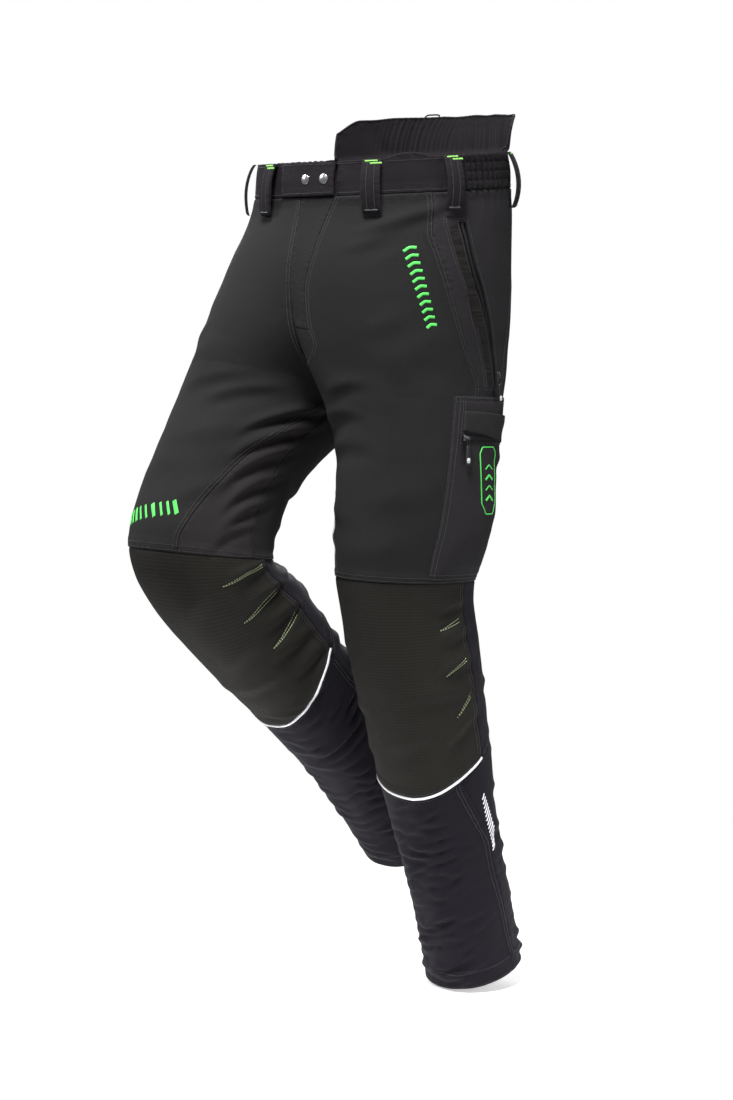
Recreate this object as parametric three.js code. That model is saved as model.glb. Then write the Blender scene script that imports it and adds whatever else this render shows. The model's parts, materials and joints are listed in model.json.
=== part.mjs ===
// Chainsaw-protection trousers, standing as if worn in mid-stride: left leg almost straight and
// right knee bent. Millimetres. The origin is the middle of the waist opening, +Z is up, the
// wearer faces -Y and the wearer's left is +X.
//
// Every fabric piece is a patch of one surface per half of the garment. A place on it is (side,
// theta, s): side is 1 for the wearer's left and -1 for the right, theta runs round the leg from
// 0 at the front through 90 outside and 180 behind to 270 inside, and s is the distance down
// from the waist edge.
import * as THREE from 'three';

// ---- Driving dimensions ----
const WAIST_TILT = 0.076; // the waist edge rises towards the back
const TILT_ENDS = 220; // s where that rise has died out
const BAND_HEIGHT = 44;
const CROTCH = 300;
const THIGH_END = 540; // seam above the knee patch
const HEM = 1050;
const SEAM_GAP = 0.8; // daylight between neighbouring panels
const CLOTH = 1.5; // outer fabric
const KNEE_CLOTH = 1.9; // coated knee fabric
const BAND = 3; // waistband, several layers
const PAD_OUT = 10; // saw-protection pad: depth of its outer face below the fabric
const PAD_IN = 16;
const LINING_OUT = 19;
const LINING_IN = 20.2;
const LOOP_WIDTH = 22;
const LOOP_LENGTH = 68;
const LOOP_BOW = 9;
const WAIST_RADIUS = 155; // mean radius of the waist
const KIDNEY_RISE = 45; // how far the back panel stands above the waistband
const PULLER_LENGTH = 33;
const PULLER_WIDTH = 9;
const SNAP_RADIUS = 6.2;

// Girth stations of each leg: s, centre x (away from the middle), y, z, half width, depth in
// front of the centre, depth behind it, lean of the section in degrees, squareness exponent.
const WAIST_EDGE = [0, 0, 0, 0, 172, 136, 136, 0, 2.1];
const BAND_FOOT = [60, 0, 0, -60, 179, 141, 140, 0, 2.1];
const STATIONS = {
  left: [
    WAIST_EDGE,
    BAND_FOOT,
    [130, 23, -12, -130, 158, 138, 144, 0, 2.2],
    [210, 57, -20, -210, 123, 124, 136, 2, 2.3],
    [CROTCH, 90, -26, -294, 90, 107, 116, 3, 2.3],
    [350, 96, -33, -342, 89, 98, 106, 5, 2.3],
    [450, 97, -42, -438, 89, 95, 97, 5, 2.3],
    [550, 94, -52, -530, 80, 84, 83, 2, 2.3],
    [650, 96, -32, -630, 76, 80, 77, -10, 2.3],
    [770, 96, -1, -755, 68, 70, 68, -15, 2.3],
    [890, 97, 32, -880, 61, 62, 60, -16, 2.3],
    [HEM, 98, 73, -1037, 60, 61, 60, -16, 2.3],
  ],
  right: [
    WAIST_EDGE,
    BAND_FOOT,
    [130, 23, -16, -130, 166, 148, 146, 5, 2.2],
    [210, 58, -48, -210, 130, 140, 137, 12, 2.3],
    [CROTCH, 93, -95, -292, 93, 119, 114, 21, 2.3],
    [350, 106, -121, -334, 88, 104, 100, 24, 2.3],
    [450, 116, -176, -415, 82, 90, 88, 26, 2.3],
    [550, 115, -203, -503, 85, 90, 86, 4, 2.3],
    [650, 109, -130, -585, 77, 80, 76, -42, 2.3],
    [770, 100, -46, -672, 71, 73, 69, -48, 2.3],
    [890, 89, 42, -765, 68, 69, 66, -49, 2.3],
    [HEM, 77, 130, -885, 68, 66, 64, -50, 2.3],
  ],
};

// Seam lines: [s, theta] points, joined by straight stretches.
const SIDE_SEAM = [[0, 60], [96, 62], [122, 67], [214, 82], [286, 95], [THIGH_END, 98]];
const BACK_SEAM = [[0, 116], [120, 122], [THIGH_END, 128]];
const INSEAM = 268;
const GUSSET_SEAM = [[CROTCH, -90], [386, -74], [452, -56], [524, -31], [THIGH_END, -29]];
const KNEE_OUTER = 101;
const KNEE_INNER = -108;
const CALF_SEAM = [[700, 70], [790, 72], [868, 94], [912, 95], [1012, 104], [HEM, 106]];
const CALF_INNER = -104;
const WELT_FRONT = [[82, 72], [286, 106]];
const WELT_BACK = [[82, 82], [286, 118]];
const WELT_TOP = 82;
const WELT_END = 286;
const FLY_TOP = BAND_HEIGHT;
const FLY_END = 230; // below this the fly is sewn shut
const FLY_SEAM = [[FLY_TOP, 17], [FLY_END, -14]];
const PIPING_FOOT = { left: 792, right: 770 }; // lowest point of the piping, on the shin
const PIPING_CENTRE = 15; // theta of that point
const PIPING_RISE = 28;
const CARGO_FRONT = [[300, 77], [528, 66]];
const CARGO_BACK = 134;
const CARGO_TOP = 300;
const CARGO_FOOT = 536;
const CARGO_ZIP = 353;
const FLAP_TOP = 318;

// Levels of s that every panel of a row shares, so that neighbouring edges match.
const HIP_LEVELS = [BAND_HEIGHT, WELT_TOP, 130, 180, FLY_END, 262, 286, 296, CROTCH];
const THIGH_LEVELS = [...HIP_LEVELS, 312, 350, 400, 450, 495, THIGH_END];

// ---- Surface ----
const rad = THREE.MathUtils.degToRad;
const deg = THREE.MathUtils.radToDeg;
const clamp01 = (t) => Math.min(1, Math.max(0, t));
const mix = (a, b, t) => a + (b - a) * t;
const smooth = (a, b, t) => {
  const k = clamp01((t - a) / (b - a));
  return k * k * (3 - 2 * k);
};

// Straight interpolation along a seam line.
function along(line, s) {
  const last = line.length - 1;
  let i = 0;
  while (i < last - 1 && s > line[i + 1][0]) i += 1;
  const [s0, a] = line[i];
  const [s1, b] = line[i + 1];
  return mix(a, b, clamp01((s - s0) / (s1 - s0)));
}

// Catmull-Rom spline through the girth stations, spaced by s.
function station(side, s) {
  const table = side > 0 ? STATIONS.left : STATIONS.right;
  const last = table.length - 1;
  const slope = (i, k) => {
    const a = table[Math.max(i - 1, 0)];
    const b = table[Math.min(i + 1, last)];
    return (b[k] - a[k]) / (b[0] - a[0]);
  };
  let i = 0;
  while (i < last - 1 && s > table[i + 1][0]) i += 1;
  const h = table[i + 1][0] - table[i][0];
  const u = (s - table[i][0]) / h;
  const h00 = 2 * u ** 3 - 3 * u ** 2 + 1;
  const h10 = u ** 3 - 2 * u ** 2 + u;
  const h01 = 3 * u ** 2 - 2 * u ** 3;
  const h11 = u ** 3 - u ** 2;
  const value = (k) => h00 * table[i][k] + h10 * h * slope(i, k)
    + h01 * table[i + 1][k] + h11 * h * slope(i + 1, k);
  const [x, y, z, width, front, back, lean, square] = [1, 2, 3, 4, 5, 6, 7, 8].map(value);
  return { x, y, z, width, front, back, lean: rad(lean), power: 2 / square };
}

// The plain oval section, before the two halves are drawn together at the middle.
function ovalPoint(side, theta, s) {
  const g = station(side, s);
  const c = Math.cos(rad(theta));
  const n = Math.sin(rad(theta));
  const across = Math.sign(n) * Math.abs(n) ** g.power * g.width;
  const ahead = Math.sign(c) * Math.abs(c) ** g.power * (c > 0 ? g.front : g.back);
  const y = g.y - ahead * Math.cos(g.lean);
  const z = g.z + ahead * Math.sin(g.lean);
  return { x: g.x + across, y, z: z + WAIST_TILT * clamp01(1 - s / TILT_ENDS) * y };
}

// Theta where the section meets the middle plane, in front or behind.
function middle(side, s, front, gap = SEAM_GAP / 2) {
  const g = station(side, Math.min(s, CROTCH));
  const q = (gap - g.x) / g.width;
  const sine = Math.sign(q) * Math.min(1, Math.abs(q)) ** (1 / g.power);
  const angle = deg(Math.asin(sine));
  return front ? angle : 180 - angle;
}

// The shift that brings a half onto the seam it shares with the other half.
const MIDDLE_BLEND = 110;
const SHIFT_FADES = 100;
function middleShift(side, s, front) {
  const level = Math.min(s, CROTCH);
  const own = ovalPoint(side, middle(side, level, front, 0), level);
  const other = ovalPoint(-side, middle(-side, level, front, 0), level);
  const fade = 0.5 * (1 - smooth(CROTCH, CROTCH + SHIFT_FADES, s));
  return { y: (other.y - own.y) * fade, z: (other.z - own.z) * fade };
}

function surfacePoint(side, theta, s) {
  const p = ovalPoint(side, theta, s);
  const pull = 1 - smooth(0, MIDDLE_BLEND, Math.abs(p.x));
  const shift = middleShift(side, s, Math.cos(rad(theta)) >= 0);
  return new THREE.Vector3(side * p.x, p.y + pull * shift.y, p.z + pull * shift.z);
}

function surfaceNormal(side, theta, s) {
  const round = surfacePoint(side, theta + 1, s).sub(surfacePoint(side, theta - 1, s));
  const down = surfacePoint(side, theta, s + 2).sub(surfacePoint(side, theta, s - 2));
  const n = round.cross(down).normalize();
  const g = station(side, s);
  const outward = surfacePoint(side, theta, s).sub(new THREE.Vector3(side * g.x, g.y, g.z));
  return n.dot(outward) < 0 ? n.negate() : n;
}

// A point a distance off the surface.
function offsetPoint(side, theta, s, out) {
  return surfacePoint(side, theta, s).addScaledVector(surfaceNormal(side, theta, s), out);
}

// Holds a point on its own side of the middle plane.
const keepSide = (p, side) => {
  p.x = side * Math.max(side * p.x, SEAM_GAP / 2);
  return p;
};

// Round the waist, phi runs from 0 at the front to 180 through the wearer's left, and below 0
// through the right.
const waistPoint = (phi, s, out) => offsetPoint(phi < 0 ? -1 : 1, Math.abs(phi), s, out);

// ---- Solids ----
const model = new THREE.Group();

const cloth = (r, g, b, roughness = 0.9) => new THREE.MeshStandardMaterial({
  color: new THREE.Color().setRGB(r / 255, g / 255, b / 255, THREE.SRGBColorSpace),
  roughness,
  metalness: 0,
});
const COLOURS = {
  shell: cloth(46, 46, 46),
  band: cloth(56, 53, 58),
  elastic: cloth(33, 31, 33),
  side: cloth(50, 47, 50),
  gusset: cloth(35, 32, 33),
  knee: cloth(47, 46, 44, 0.8),
  shin: cloth(40, 37, 43),
  cargo: cloth(47, 45, 47),
  reflective: cloth(235, 235, 238, 0.4),
  pad: cloth(190, 185, 170),
  lining: cloth(28, 28, 30),
  zip: cloth(20, 20, 22),
  metal: new THREE.MeshStandardMaterial({ color: 0xb8b8bc, roughness: 0.3, metalness: 1 }),
  pull: cloth(24, 24, 26, 0.6),
};

function addMesh(name, material, geometry) {
  const mesh = new THREE.Mesh(geometry, material);
  mesh.name = name;
  model.add(mesh);
  return mesh;
}

// A closed sheet between two grids of points. kept(i, j) says which cells exist, and ring joins
// the last column to the first.
function sheetGeometry(outer, inner, { ring = false, kept = () => true } = {}) {
  const rows = outer.length;
  const cols = outer[0].length;
  const cellCols = ring ? cols : cols - 1;
  const positions = [];
  const index = [];
  const put = (grid) => grid.map((row) => row.map((p) => positions.push(p.x, p.y, p.z) / 3 - 1));
  const a = put(outer);
  const b = put(inner);
  const has = (i, j) => {
    if (i < 0 || i >= rows - 1) return false;
    const k = ring ? (j + cellCols) % cellCols : j;
    return k >= 0 && k < cellCols && kept(i, k);
  };
  const quad = (p, q, r, t) => index.push(p, q, r, p, r, t);
  for (let i = 0; i < rows - 1; i += 1) {
    for (let j = 0; j < cellCols; j += 1) {
      if (!has(i, j)) continue;
      const k = (j + 1) % cols;
      quad(a[i][j], a[i + 1][j], a[i + 1][k], a[i][k]);
      quad(b[i][j], b[i][k], b[i + 1][k], b[i + 1][j]);
      if (!has(i - 1, j)) quad(a[i][j], a[i][k], b[i][k], b[i][j]);
      if (!has(i + 1, j)) quad(a[i + 1][k], a[i + 1][j], b[i + 1][j], b[i + 1][k]);
      if (!has(i, j - 1)) quad(a[i + 1][j], a[i][j], b[i][j], b[i + 1][j]);
      if (!has(i, j + 1)) quad(a[i][k], a[i + 1][k], b[i + 1][k], b[i][k]);
    }
  }
  return outwardGeometry(positions, index);
}

// Drops unused points and turns the faces outward if the grid ran the other way.
function outwardGeometry(positions, index) {
  const used = new Map();
  const kept = [];
  const faces = index.map((v) => {
    if (!used.has(v)) {
      used.set(v, kept.length / 3);
      kept.push(positions[3 * v], positions[3 * v + 1], positions[3 * v + 2]);
    }
    return used.get(v);
  });
  const at = (v) => new THREE.Vector3(kept[3 * v], kept[3 * v + 1], kept[3 * v + 2]);
  let volume = 0;
  for (let i = 0; i < faces.length; i += 3) {
    volume += at(faces[i]).dot(at(faces[i + 1]).cross(at(faces[i + 2])));
  }
  if (volume < 0) {
    for (let i = 0; i < faces.length; i += 3) {
      [faces[i + 1], faces[i + 2]] = [faces[i + 2], faces[i + 1]];
    }
  }
  const geometry = new THREE.BufferGeometry();
  geometry.setAttribute('position', new THREE.Float32BufferAttribute(kept, 3));
  geometry.setIndex(faces);
  return geometry;
}

const spread = (count) => Array.from({ length: count + 1 }, (_, i) => i / count);

// A panel of a leg. top and foot are its end lines as functions of theta, edges lists the theta
// lines of its column borders as functions of s, and steps says how many columns lie between.
function panel(name, material, side, spec) {
  const { top, foot, levels, edges, steps, out, inn, kept, ring } = spec;
  const depth = (value, s, theta) => (typeof value === 'function' ? value(s, theta) : value);
  const gapAngle = (s) => deg((SEAM_GAP / 2) / station(side, s).width);
  const grids = { outer: [], inner: [] };
  levels.forEach((level, row) => {
    const middleS = mix(top(0), foot(0), level);
    const lines = edges.map((edge) => edge(middleS));
    lines[0] += ring ? 0 : gapAngle(middleS);
    lines[lines.length - 1] -= ring ? 0 : gapAngle(middleS);
    const thetas = [];
    for (let e = 0; e < lines.length - 1; e += 1) {
      spread(steps[e]).forEach((t, k) => {
        if (k > 0 || e === 0) thetas.push(mix(lines[e], lines[e + 1], t));
      });
    }
    if (ring) thetas.pop();
    const points = { outer: [], inner: [] };
    thetas.forEach((theta) => {
      let s = mix(top(theta), foot(theta), level);
      if (row === 0) s += SEAM_GAP / 2;
      if (row === levels.length - 1) s -= SEAM_GAP / 2;
      points.outer.push(keepSide(offsetPoint(side, theta, s, depth(out, s, theta)), side));
      points.inner.push(keepSide(offsetPoint(side, theta, s, depth(inn, s, theta)), side));
    });
    grids.outer.push(points.outer);
    grids.inner.push(points.inner);
  });
  return addMesh(name, material, sheetGeometry(grids.outer, grids.inner, { ring, kept }));
}

// A strip round the waist between two phi angles.
function waistStrip(name, material, { from, to, top, foot, rows, steps, out, inn }) {
  const turn = deg((SEAM_GAP / 2) / station(1, 0).width);
  const grids = { outer: [], inner: [] };
  spread(rows).forEach((v) => {
    const points = { outer: [], inner: [] };
    spread(steps).forEach((u) => {
      const phi = mix(from + turn, to - turn, u);
      const wrapped = phi > 180 ? phi - 360 : phi;
      const s = mix(top(phi), foot(phi), v);
      const value = (depth) => (typeof depth === 'function' ? depth(v, u, phi) : depth);
      points.outer.push(waistPoint(wrapped, s, value(out)));
      points.inner.push(waistPoint(wrapped, s, value(inn)));
    });
    grids.outer.push(points.outer);
    grids.inner.push(points.inner);
  });
  return addMesh(name, material, sheetGeometry(grids.outer, grids.inner));
}

// ---- Waist ----
const TAB_OUT = 3.8;
const TAB_IN = 1.8;
const TAB_END = -11;
const TAB_SEAM = 17;
const ELASTIC_FRONT = 76;
const ELASTIC_BACK = 115;

function buildWaist() {
  const band = (name, material, from, to, steps, thick = BAND) => waistStrip(name, material, {
    from, to, steps, rows: 2, top: () => 0, foot: () => BAND_HEIGHT - SEAM_GAP, out: 0, inn: -thick,
  });
  band('waistband_right', COLOURS.band, -ELASTIC_FRONT, TAB_SEAM - 1, 10);
  band('waistband_left', COLOURS.band, TAB_SEAM + 0.4, ELASTIC_FRONT, 6);
  band('waist_elastic_left', COLOURS.elastic, ELASTIC_FRONT, ELASTIC_BACK, 5, 4);
  band('waist_elastic_right', COLOURS.elastic, -ELASTIC_BACK, -ELASTIC_FRONT, 5, 4);
  band('waistband_back', COLOURS.band, ELASTIC_BACK, 360 - ELASTIC_BACK, 12);
  waistStrip('waist_tab', COLOURS.band, {
    from: TAB_END, to: TAB_SEAM - 0.4, steps: 4, rows: 2,
    top: () => 0.5, foot: () => BAND_HEIGHT - 1, out: TAB_OUT, inn: TAB_IN,
  });
  // The kidney panel rises above the band with cut-off corners and flares out a little.
  const KIDNEY_END = 118;
  const KIDNEY_CORNER = 9;
  const rise = (phi) => {
    const fromEnd = Math.min(phi - KIDNEY_END, 360 - KIDNEY_END - phi);
    return KIDNEY_RISE * mix(0.72, 1, clamp01(fromEnd / KIDNEY_CORNER));
  };
  waistStrip('kidney_panel', COLOURS.elastic, {
    from: KIDNEY_END, to: 360 - KIDNEY_END, steps: 14, rows: 2,
    top: (phi) => -rise(phi), foot: () => -SEAM_GAP,
    out: (v) => mix(8, 0, v), inn: (v) => mix(8, 0, v) - 2.5,
  });
  // A thin hanging loop on the kidney panel's top edge.
  const HANGER_AT = -162;
  const HANGER_HALF = 8;
  const HANGER_RISE = 9;
  const corners = [[-1, 0.35], [-1, 1], [-0.5, 1.15], [0.5, 1.15], [1, 1], [1, 0.35]];
  const route = corners.map(([u, v]) => {
    const foot = -KIDNEY_RISE - 2 - 0.4;
    return waistPoint(HANGER_AT + u * HANGER_HALF / 1.4, foot - HANGER_RISE * (v - 0.35), 6.6);
  });
  addMesh('hanger_loop', COLOURS.elastic, tubeGeometry(route, 1.2, 6, 12));
}

// A tube with closed ends along a smooth route.
function tubeGeometry(route, radius, sides, steps) {
  const shape = new THREE.Shape();
  shape.absarc(0, 0, radius, 0, Math.PI * 2);
  return new THREE.ExtrudeGeometry(shape, {
    steps, curveSegments: sides / 2, bevelEnabled: false,
    extrudePath: new THREE.CatmullRomCurve3(route),
  });
}

const BELT_LOOPS = {
  belt_loop_front_right: -19,
  belt_loop_side_right: -51,
  belt_loop_front_left: 34,
  belt_loop_side_left: 71,
  belt_loop_hip_left: 117,
  belt_loop_back: 180,
  belt_loop_hip_right: 240,
};
const LOOP_TOP = 1; // s of the loop's upper end, just below the waist edge
const LOOP_CLEAR = 2;
const LOOP_CLOTH = 2;

function buildBeltLoops() {
  const half = deg(LOOP_WIDTH / 2 / WAIST_RADIUS);
  Object.entries(BELT_LOOPS).forEach(([name, phi]) => {
    const bow = (v) => LOOP_CLEAR + LOOP_BOW * Math.sin(Math.PI * v) ** 0.7;
    waistStrip(name, COLOURS.band, {
      from: phi - half, to: phi + half, steps: 2, rows: 8,
      top: () => LOOP_TOP, foot: () => LOOP_LENGTH,
      out: (v) => bow(v) + LOOP_CLOTH, inn: bow,
    });
  });
}

// ---- Snaps ----
function latheGeometry(outline, segments = 16) {
  return new THREE.LatheGeometry(outline.map(([r, h]) => new THREE.Vector2(r, h)), segments);
}

// Places a mesh whose own +Y stands along the surface's outward normal.
function standOn(mesh, phi, s, out) {
  const side = phi < 0 ? -1 : 1;
  mesh.position.copy(waistPoint(phi, s, out));
  const up = new THREE.Vector3(0, 1, 0);
  mesh.quaternion.setFromUnitVectors(up, surfaceNormal(side, Math.abs(phi), s));
}

const SNAPS = { outer: 3, inner: 12 }; // phi
function buildSnaps() {
  const dome = [[0, 0], [SNAP_RADIUS, 0], [SNAP_RADIUS, 0.9], [SNAP_RADIUS * 0.75, 1.9], [0, 2.3]];
  const stud = [[0, 0], [4, 0], [4, 0.6], [2, 0.6], [2, 1.1], [0, 1.1]];
  Object.entries(SNAPS).forEach(([place, phi]) => {
    const height = BAND_HEIGHT / 2;
    standOn(addMesh(`snap_cap_${place}`, COLOURS.metal, latheGeometry(dome)), phi, height, TAB_OUT + 0.3);
    standOn(addMesh(`snap_stud_${place}`, COLOURS.metal, latheGeometry(stud, 12)), phi, height, 0.3);
  });
}

// ---- Panels ----
const frontEdge = (side) => (s) => (s <= CROTCH ? middle(side, s, true) : along(GUSSET_SEAM, s));
const fly = (side, s) => {
  const start = frontEdge(side)(s);
  const end = along(SIDE_SEAM, s);
  return s <= FLY_END ? along(FLY_SEAM, s) : mix(start, end, 0.163);
};
const thighLevels = THIGH_LEVELS.map((s) => (s - BAND_HEIGHT) / (THIGH_END - BAND_HEIGHT));
const thighRow = { top: () => BAND_HEIGHT, foot: () => THIGH_END, levels: thighLevels };

function buildFront(side, word) {
  const flyRows = HIP_LEVELS.indexOf(FLY_END);
  panel(`front_${word}`, COLOURS.shell, side, {
    ...thighRow,
    edges: [frontEdge(side), (s) => fly(side, s), (s) => along(SIDE_SEAM, s)],
    steps: [2, 6], out: 0, inn: -CLOTH,
    kept: (row, col) => side < 0 || row >= flyRows || col >= 2,
  });
}

// The fly flap fills the corner that the left front leaves open.
const FLAP_CLEAR = 0.35; // degrees
function buildFlyFlap() {
  const levels = HIP_LEVELS.filter((s) => s <= FLY_END);
  const top = BAND_HEIGHT;
  const foot = FLY_END - 1;
  panel('fly_flap', COLOURS.shell, 1, {
    top: () => top, foot: () => foot,
    levels: levels.map((s) => (s - BAND_HEIGHT) / (FLY_END - BAND_HEIGHT)),
    edges: [(s) => middle(1, s, true), (s) => along(FLY_SEAM, s) - FLAP_CLEAR],
    steps: [2], out: 0, inn: -CLOTH,
  });
}

function buildSide(side, word) {
  const slotTop = HIP_LEVELS.indexOf(WELT_TOP);
  const slotEnd = HIP_LEVELS.indexOf(WELT_END);
  panel(`side_panel_${word}`, COLOURS.side, side, {
    ...thighRow,
    edges: [
      (s) => along(SIDE_SEAM, s),
      (s) => Math.max(along(WELT_FRONT, s), along(SIDE_SEAM, s) + 3),
      (s) => Math.max(along(WELT_BACK, s), along(SIDE_SEAM, s) + 9),
      (s) => along(BACK_SEAM, s),
    ],
    steps: [1, 1, 4], out: 0, inn: -CLOTH,
    kept: (row, col) => !(col === 1 && row >= slotTop && row < slotEnd),
  });
}

function buildSeat(side, word) {
  panel(`seat_${word}`, COLOURS.shell, side, {
    ...thighRow,
    edges: [(s) => along(BACK_SEAM, s), (s) => (s <= CROTCH ? middle(side, s, false) : INSEAM)],
    steps: [8], out: 0, inn: -CLOTH,
  });
}

function buildGusset(side, word) {
  const start = 312;
  const levels = THIGH_LEVELS.filter((s) => s > start);
  panel(`inner_gusset_${word}`, COLOURS.gusset, side, {
    top: () => start, foot: () => THIGH_END,
    levels: [0, ...levels.map((s) => (s - start) / (THIGH_END - start))],
    edges: [() => INSEAM - 360, (s) => along(GUSSET_SEAM, s)],
    steps: [3], out: 0, inn: -CLOTH,
  });
}

const pipingLine = (word) => (theta) => PIPING_FOOT[word]
  - PIPING_RISE * (1 - Math.cos(rad(theta - PIPING_CENTRE)));
const PIPING_WIDTH = 3.4;

function buildLowerLeg(side, word) {
  const line = pipingLine(word);
  const above = (theta) => line(theta) - PIPING_WIDTH / 2;
  const below = (theta) => line(theta) + PIPING_WIDTH / 2;
  const kneeRow = { top: () => THIGH_END, foot: above, levels: spread(5) };
  panel(`knee_front_${word}`, COLOURS.knee, side, {
    ...kneeRow, edges: [() => KNEE_INNER, () => KNEE_OUTER], steps: [12], out: 0, inn: -KNEE_CLOTH,
  });
  panel(`knee_back_${word}`, COLOURS.shin, side, {
    ...kneeRow, edges: [() => KNEE_OUTER, () => KNEE_INNER + 360], steps: [9], out: 0, inn: -CLOTH,
  });
  panel(`piping_${word}`, COLOURS.reflective, side, {
    top: above, foot: below, levels: [0, 1],
    edges: [() => KNEE_INNER, () => KNEE_OUTER], steps: [12], out: 1.6, inn: -1,
  });
  const shinRow = { top: below, foot: () => HEM, levels: spread(5) };
  const outerSeam = (s) => along(CALF_SEAM, s);
  panel(`shin_front_${word}`, COLOURS.shin, side, {
    ...shinRow, edges: [() => CALF_INNER, outerSeam], steps: [12], out: 0, inn: -CLOTH,
  });
  panel(`calf_${word}`, COLOURS.shin, side, {
    ...shinRow, edges: [outerSeam, () => CALF_INNER + 360], steps: [9], out: 0, inn: -CLOTH,
  });
  panel(`hem_cuff_${word}`, COLOURS.shin, side, {
    top: () => HEM - 24, foot: () => HEM, levels: [0, 1], ring: true,
    edges: [() => 0, () => 360], steps: [20], out: -3.2, inn: -4.6,
  });
}

function buildInnerLayers(side, word) {
  const PAD_TOP = 150;
  const PAD_FOOT = 990;
  const padLevels = [PAD_TOP, 200, 250, 300, 350, 425, 500, 550, 600, 650, 720, 800, 890, PAD_FOOT];
  const innerEdge = (s) => Math.max(middle(side, s, true) + 20, mix(-84, -72, smooth(300, 500, s)));
  panel(`saw_pad_${word}`, COLOURS.pad, side, {
    top: () => PAD_TOP, foot: () => PAD_FOOT,
    levels: padLevels.map((s) => (s - PAD_TOP) / (PAD_FOOT - PAD_TOP)),
    edges: [innerEdge, (s) => mix(48, 78, smooth(150, 500, s))],
    steps: [7], out: -PAD_OUT, inn: -PAD_IN,
  });
  const LINING_TOP = 350;
  const liningLevels = padLevels.filter((s) => s >= LINING_TOP);
  panel(`leg_lining_${word}`, COLOURS.lining, side, {
    top: () => LINING_TOP, foot: () => PAD_FOOT, ring: true,
    levels: liningLevels.map((s) => (s - LINING_TOP) / (PAD_FOOT - LINING_TOP)),
    edges: [() => 0, () => 360], steps: [18], out: -LINING_OUT, inn: -LINING_IN,
  });
  const BAG_TOP = 70;
  const BAG_FOOT = 305;
  panel(`hand_pocket_bag_${word}`, COLOURS.lining, side, {
    top: () => BAG_TOP, foot: () => BAG_FOOT,
    levels: [BAG_TOP, ...HIP_LEVELS.filter((s) => s > BAG_TOP && s < CROTCH), BAG_FOOT]
      .map((s) => (s - BAG_TOP) / (BAG_FOOT - BAG_TOP)),
    edges: [() => 40, () => 122], steps: [6], out: -6.4, inn: -7.8,
  });
}

// ---- Zips ----
// A frame on the surface: x along the zip, y away from the surface, z across.
function zipFrame(a, b, normal) {
  const x = b.clone().sub(a).normalize();
  const y = normal.clone().addScaledVector(x, -normal.dot(x)).normalize();
  return new THREE.Matrix4().makeBasis(x, y, x.clone().cross(y));
}

// A zip slider: a wedge-nosed block with its foot at y = 0.
function sliderGeometry(length, width, height) {
  const shape = new THREE.Shape();
  shape.moveTo(-length / 2, -width * 0.3);
  shape.lineTo(length * 0.1, -width / 2);
  shape.lineTo(length / 2, -width / 2);
  shape.lineTo(length / 2, width / 2);
  shape.lineTo(length * 0.1, width / 2);
  shape.lineTo(-length / 2, width * 0.3);
  const geometry = new THREE.ExtrudeGeometry(shape, { depth: height, bevelEnabled: false });
  return geometry.rotateX(-Math.PI / 2);
}

// A puller that hangs from y = 0 down to -length, with clipped corners at its foot.
function pullerGeometry(length, width, thick) {
  const shape = new THREE.Shape();
  const neck = width * 0.28;
  shape.moveTo(-neck, 0);
  shape.lineTo(-neck, -length * 0.3);
  shape.lineTo(-width / 2, -length * 0.4);
  shape.lineTo(-width / 2, -length + 2);
  shape.lineTo(-width / 2 + 2, -length);
  shape.lineTo(width / 2 - 2, -length);
  shape.lineTo(width / 2, -length + 2);
  shape.lineTo(width / 2, -length * 0.4);
  shape.lineTo(neck, -length * 0.3);
  shape.lineTo(neck, 0);
  const geometry = new THREE.ExtrudeGeometry(shape, { depth: thick, bevelEnabled: false });
  return geometry.translate(0, 0, -thick / 2);
}

// A plate hung from a point, facing away from the garment.
function hangPuller(name, point, normal, length = PULLER_LENGTH, width = PULLER_WIDTH) {
  const mesh = addMesh(name, COLOURS.pull, pullerGeometry(length, width, 1.6));
  const facing = new THREE.Vector3(normal.x, normal.y, 0).normalize();
  const down = new THREE.Vector3(0, 0, 1);
  mesh.quaternion.setFromRotationMatrix(new THREE.Matrix4()
    .makeBasis(down.clone().cross(facing), down, facing));
  mesh.position.copy(point);
}

const weltMiddle = (s) => (along(WELT_FRONT, s) + along(WELT_BACK, s)) / 2;
const HAND_SLIDER_AT = 272;
const HAND_SLIDER_OUT = 1.8;
const HAND_PULL_OUT = 7;
const SLIDER = { length: 11, width: 8, height: 3 };

function buildHandZip(side, word) {
  const ZIP_TOP = WELT_TOP - 4;
  const ZIP_FOOT = WELT_END + 5;
  panel(`hand_pocket_zip_${word}`, COLOURS.zip, side, {
    top: () => ZIP_TOP, foot: () => ZIP_FOOT,
    levels: [ZIP_TOP, ...HIP_LEVELS.filter((s) => s > ZIP_TOP && s < ZIP_FOOT), ZIP_FOOT]
      .map((s) => (s - ZIP_TOP) / (ZIP_FOOT - ZIP_TOP)),
    edges: [
      (s) => weltMiddle(s) - 9,
      (s) => weltMiddle(s) - 1.6,
      (s) => weltMiddle(s) + 1.6,
      (s) => weltMiddle(s) + 9,
    ],
    steps: [1, 1, 1], out: -3.6, inn: -4.8,
  });
  const theta = weltMiddle(HAND_SLIDER_AT);
  const normal = surfaceNormal(side, theta, HAND_SLIDER_AT);
  const up = surfacePoint(side, weltMiddle(HAND_SLIDER_AT - 5), HAND_SLIDER_AT - 5);
  const down = surfacePoint(side, weltMiddle(HAND_SLIDER_AT + 5), HAND_SLIDER_AT + 5);
  const slider = addMesh(`hand_slider_${word}`, COLOURS.metal,
    sliderGeometry(SLIDER.length, SLIDER.width, SLIDER.height));
  slider.quaternion.setFromRotationMatrix(zipFrame(up, down, normal));
  slider.position.copy(offsetPoint(side, theta, HAND_SLIDER_AT, HAND_SLIDER_OUT));
  const hinge = offsetPoint(side, theta, HAND_SLIDER_AT, HAND_PULL_OUT);
  hangPuller(`hand_puller_${word}`, hinge, normal);
}

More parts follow.
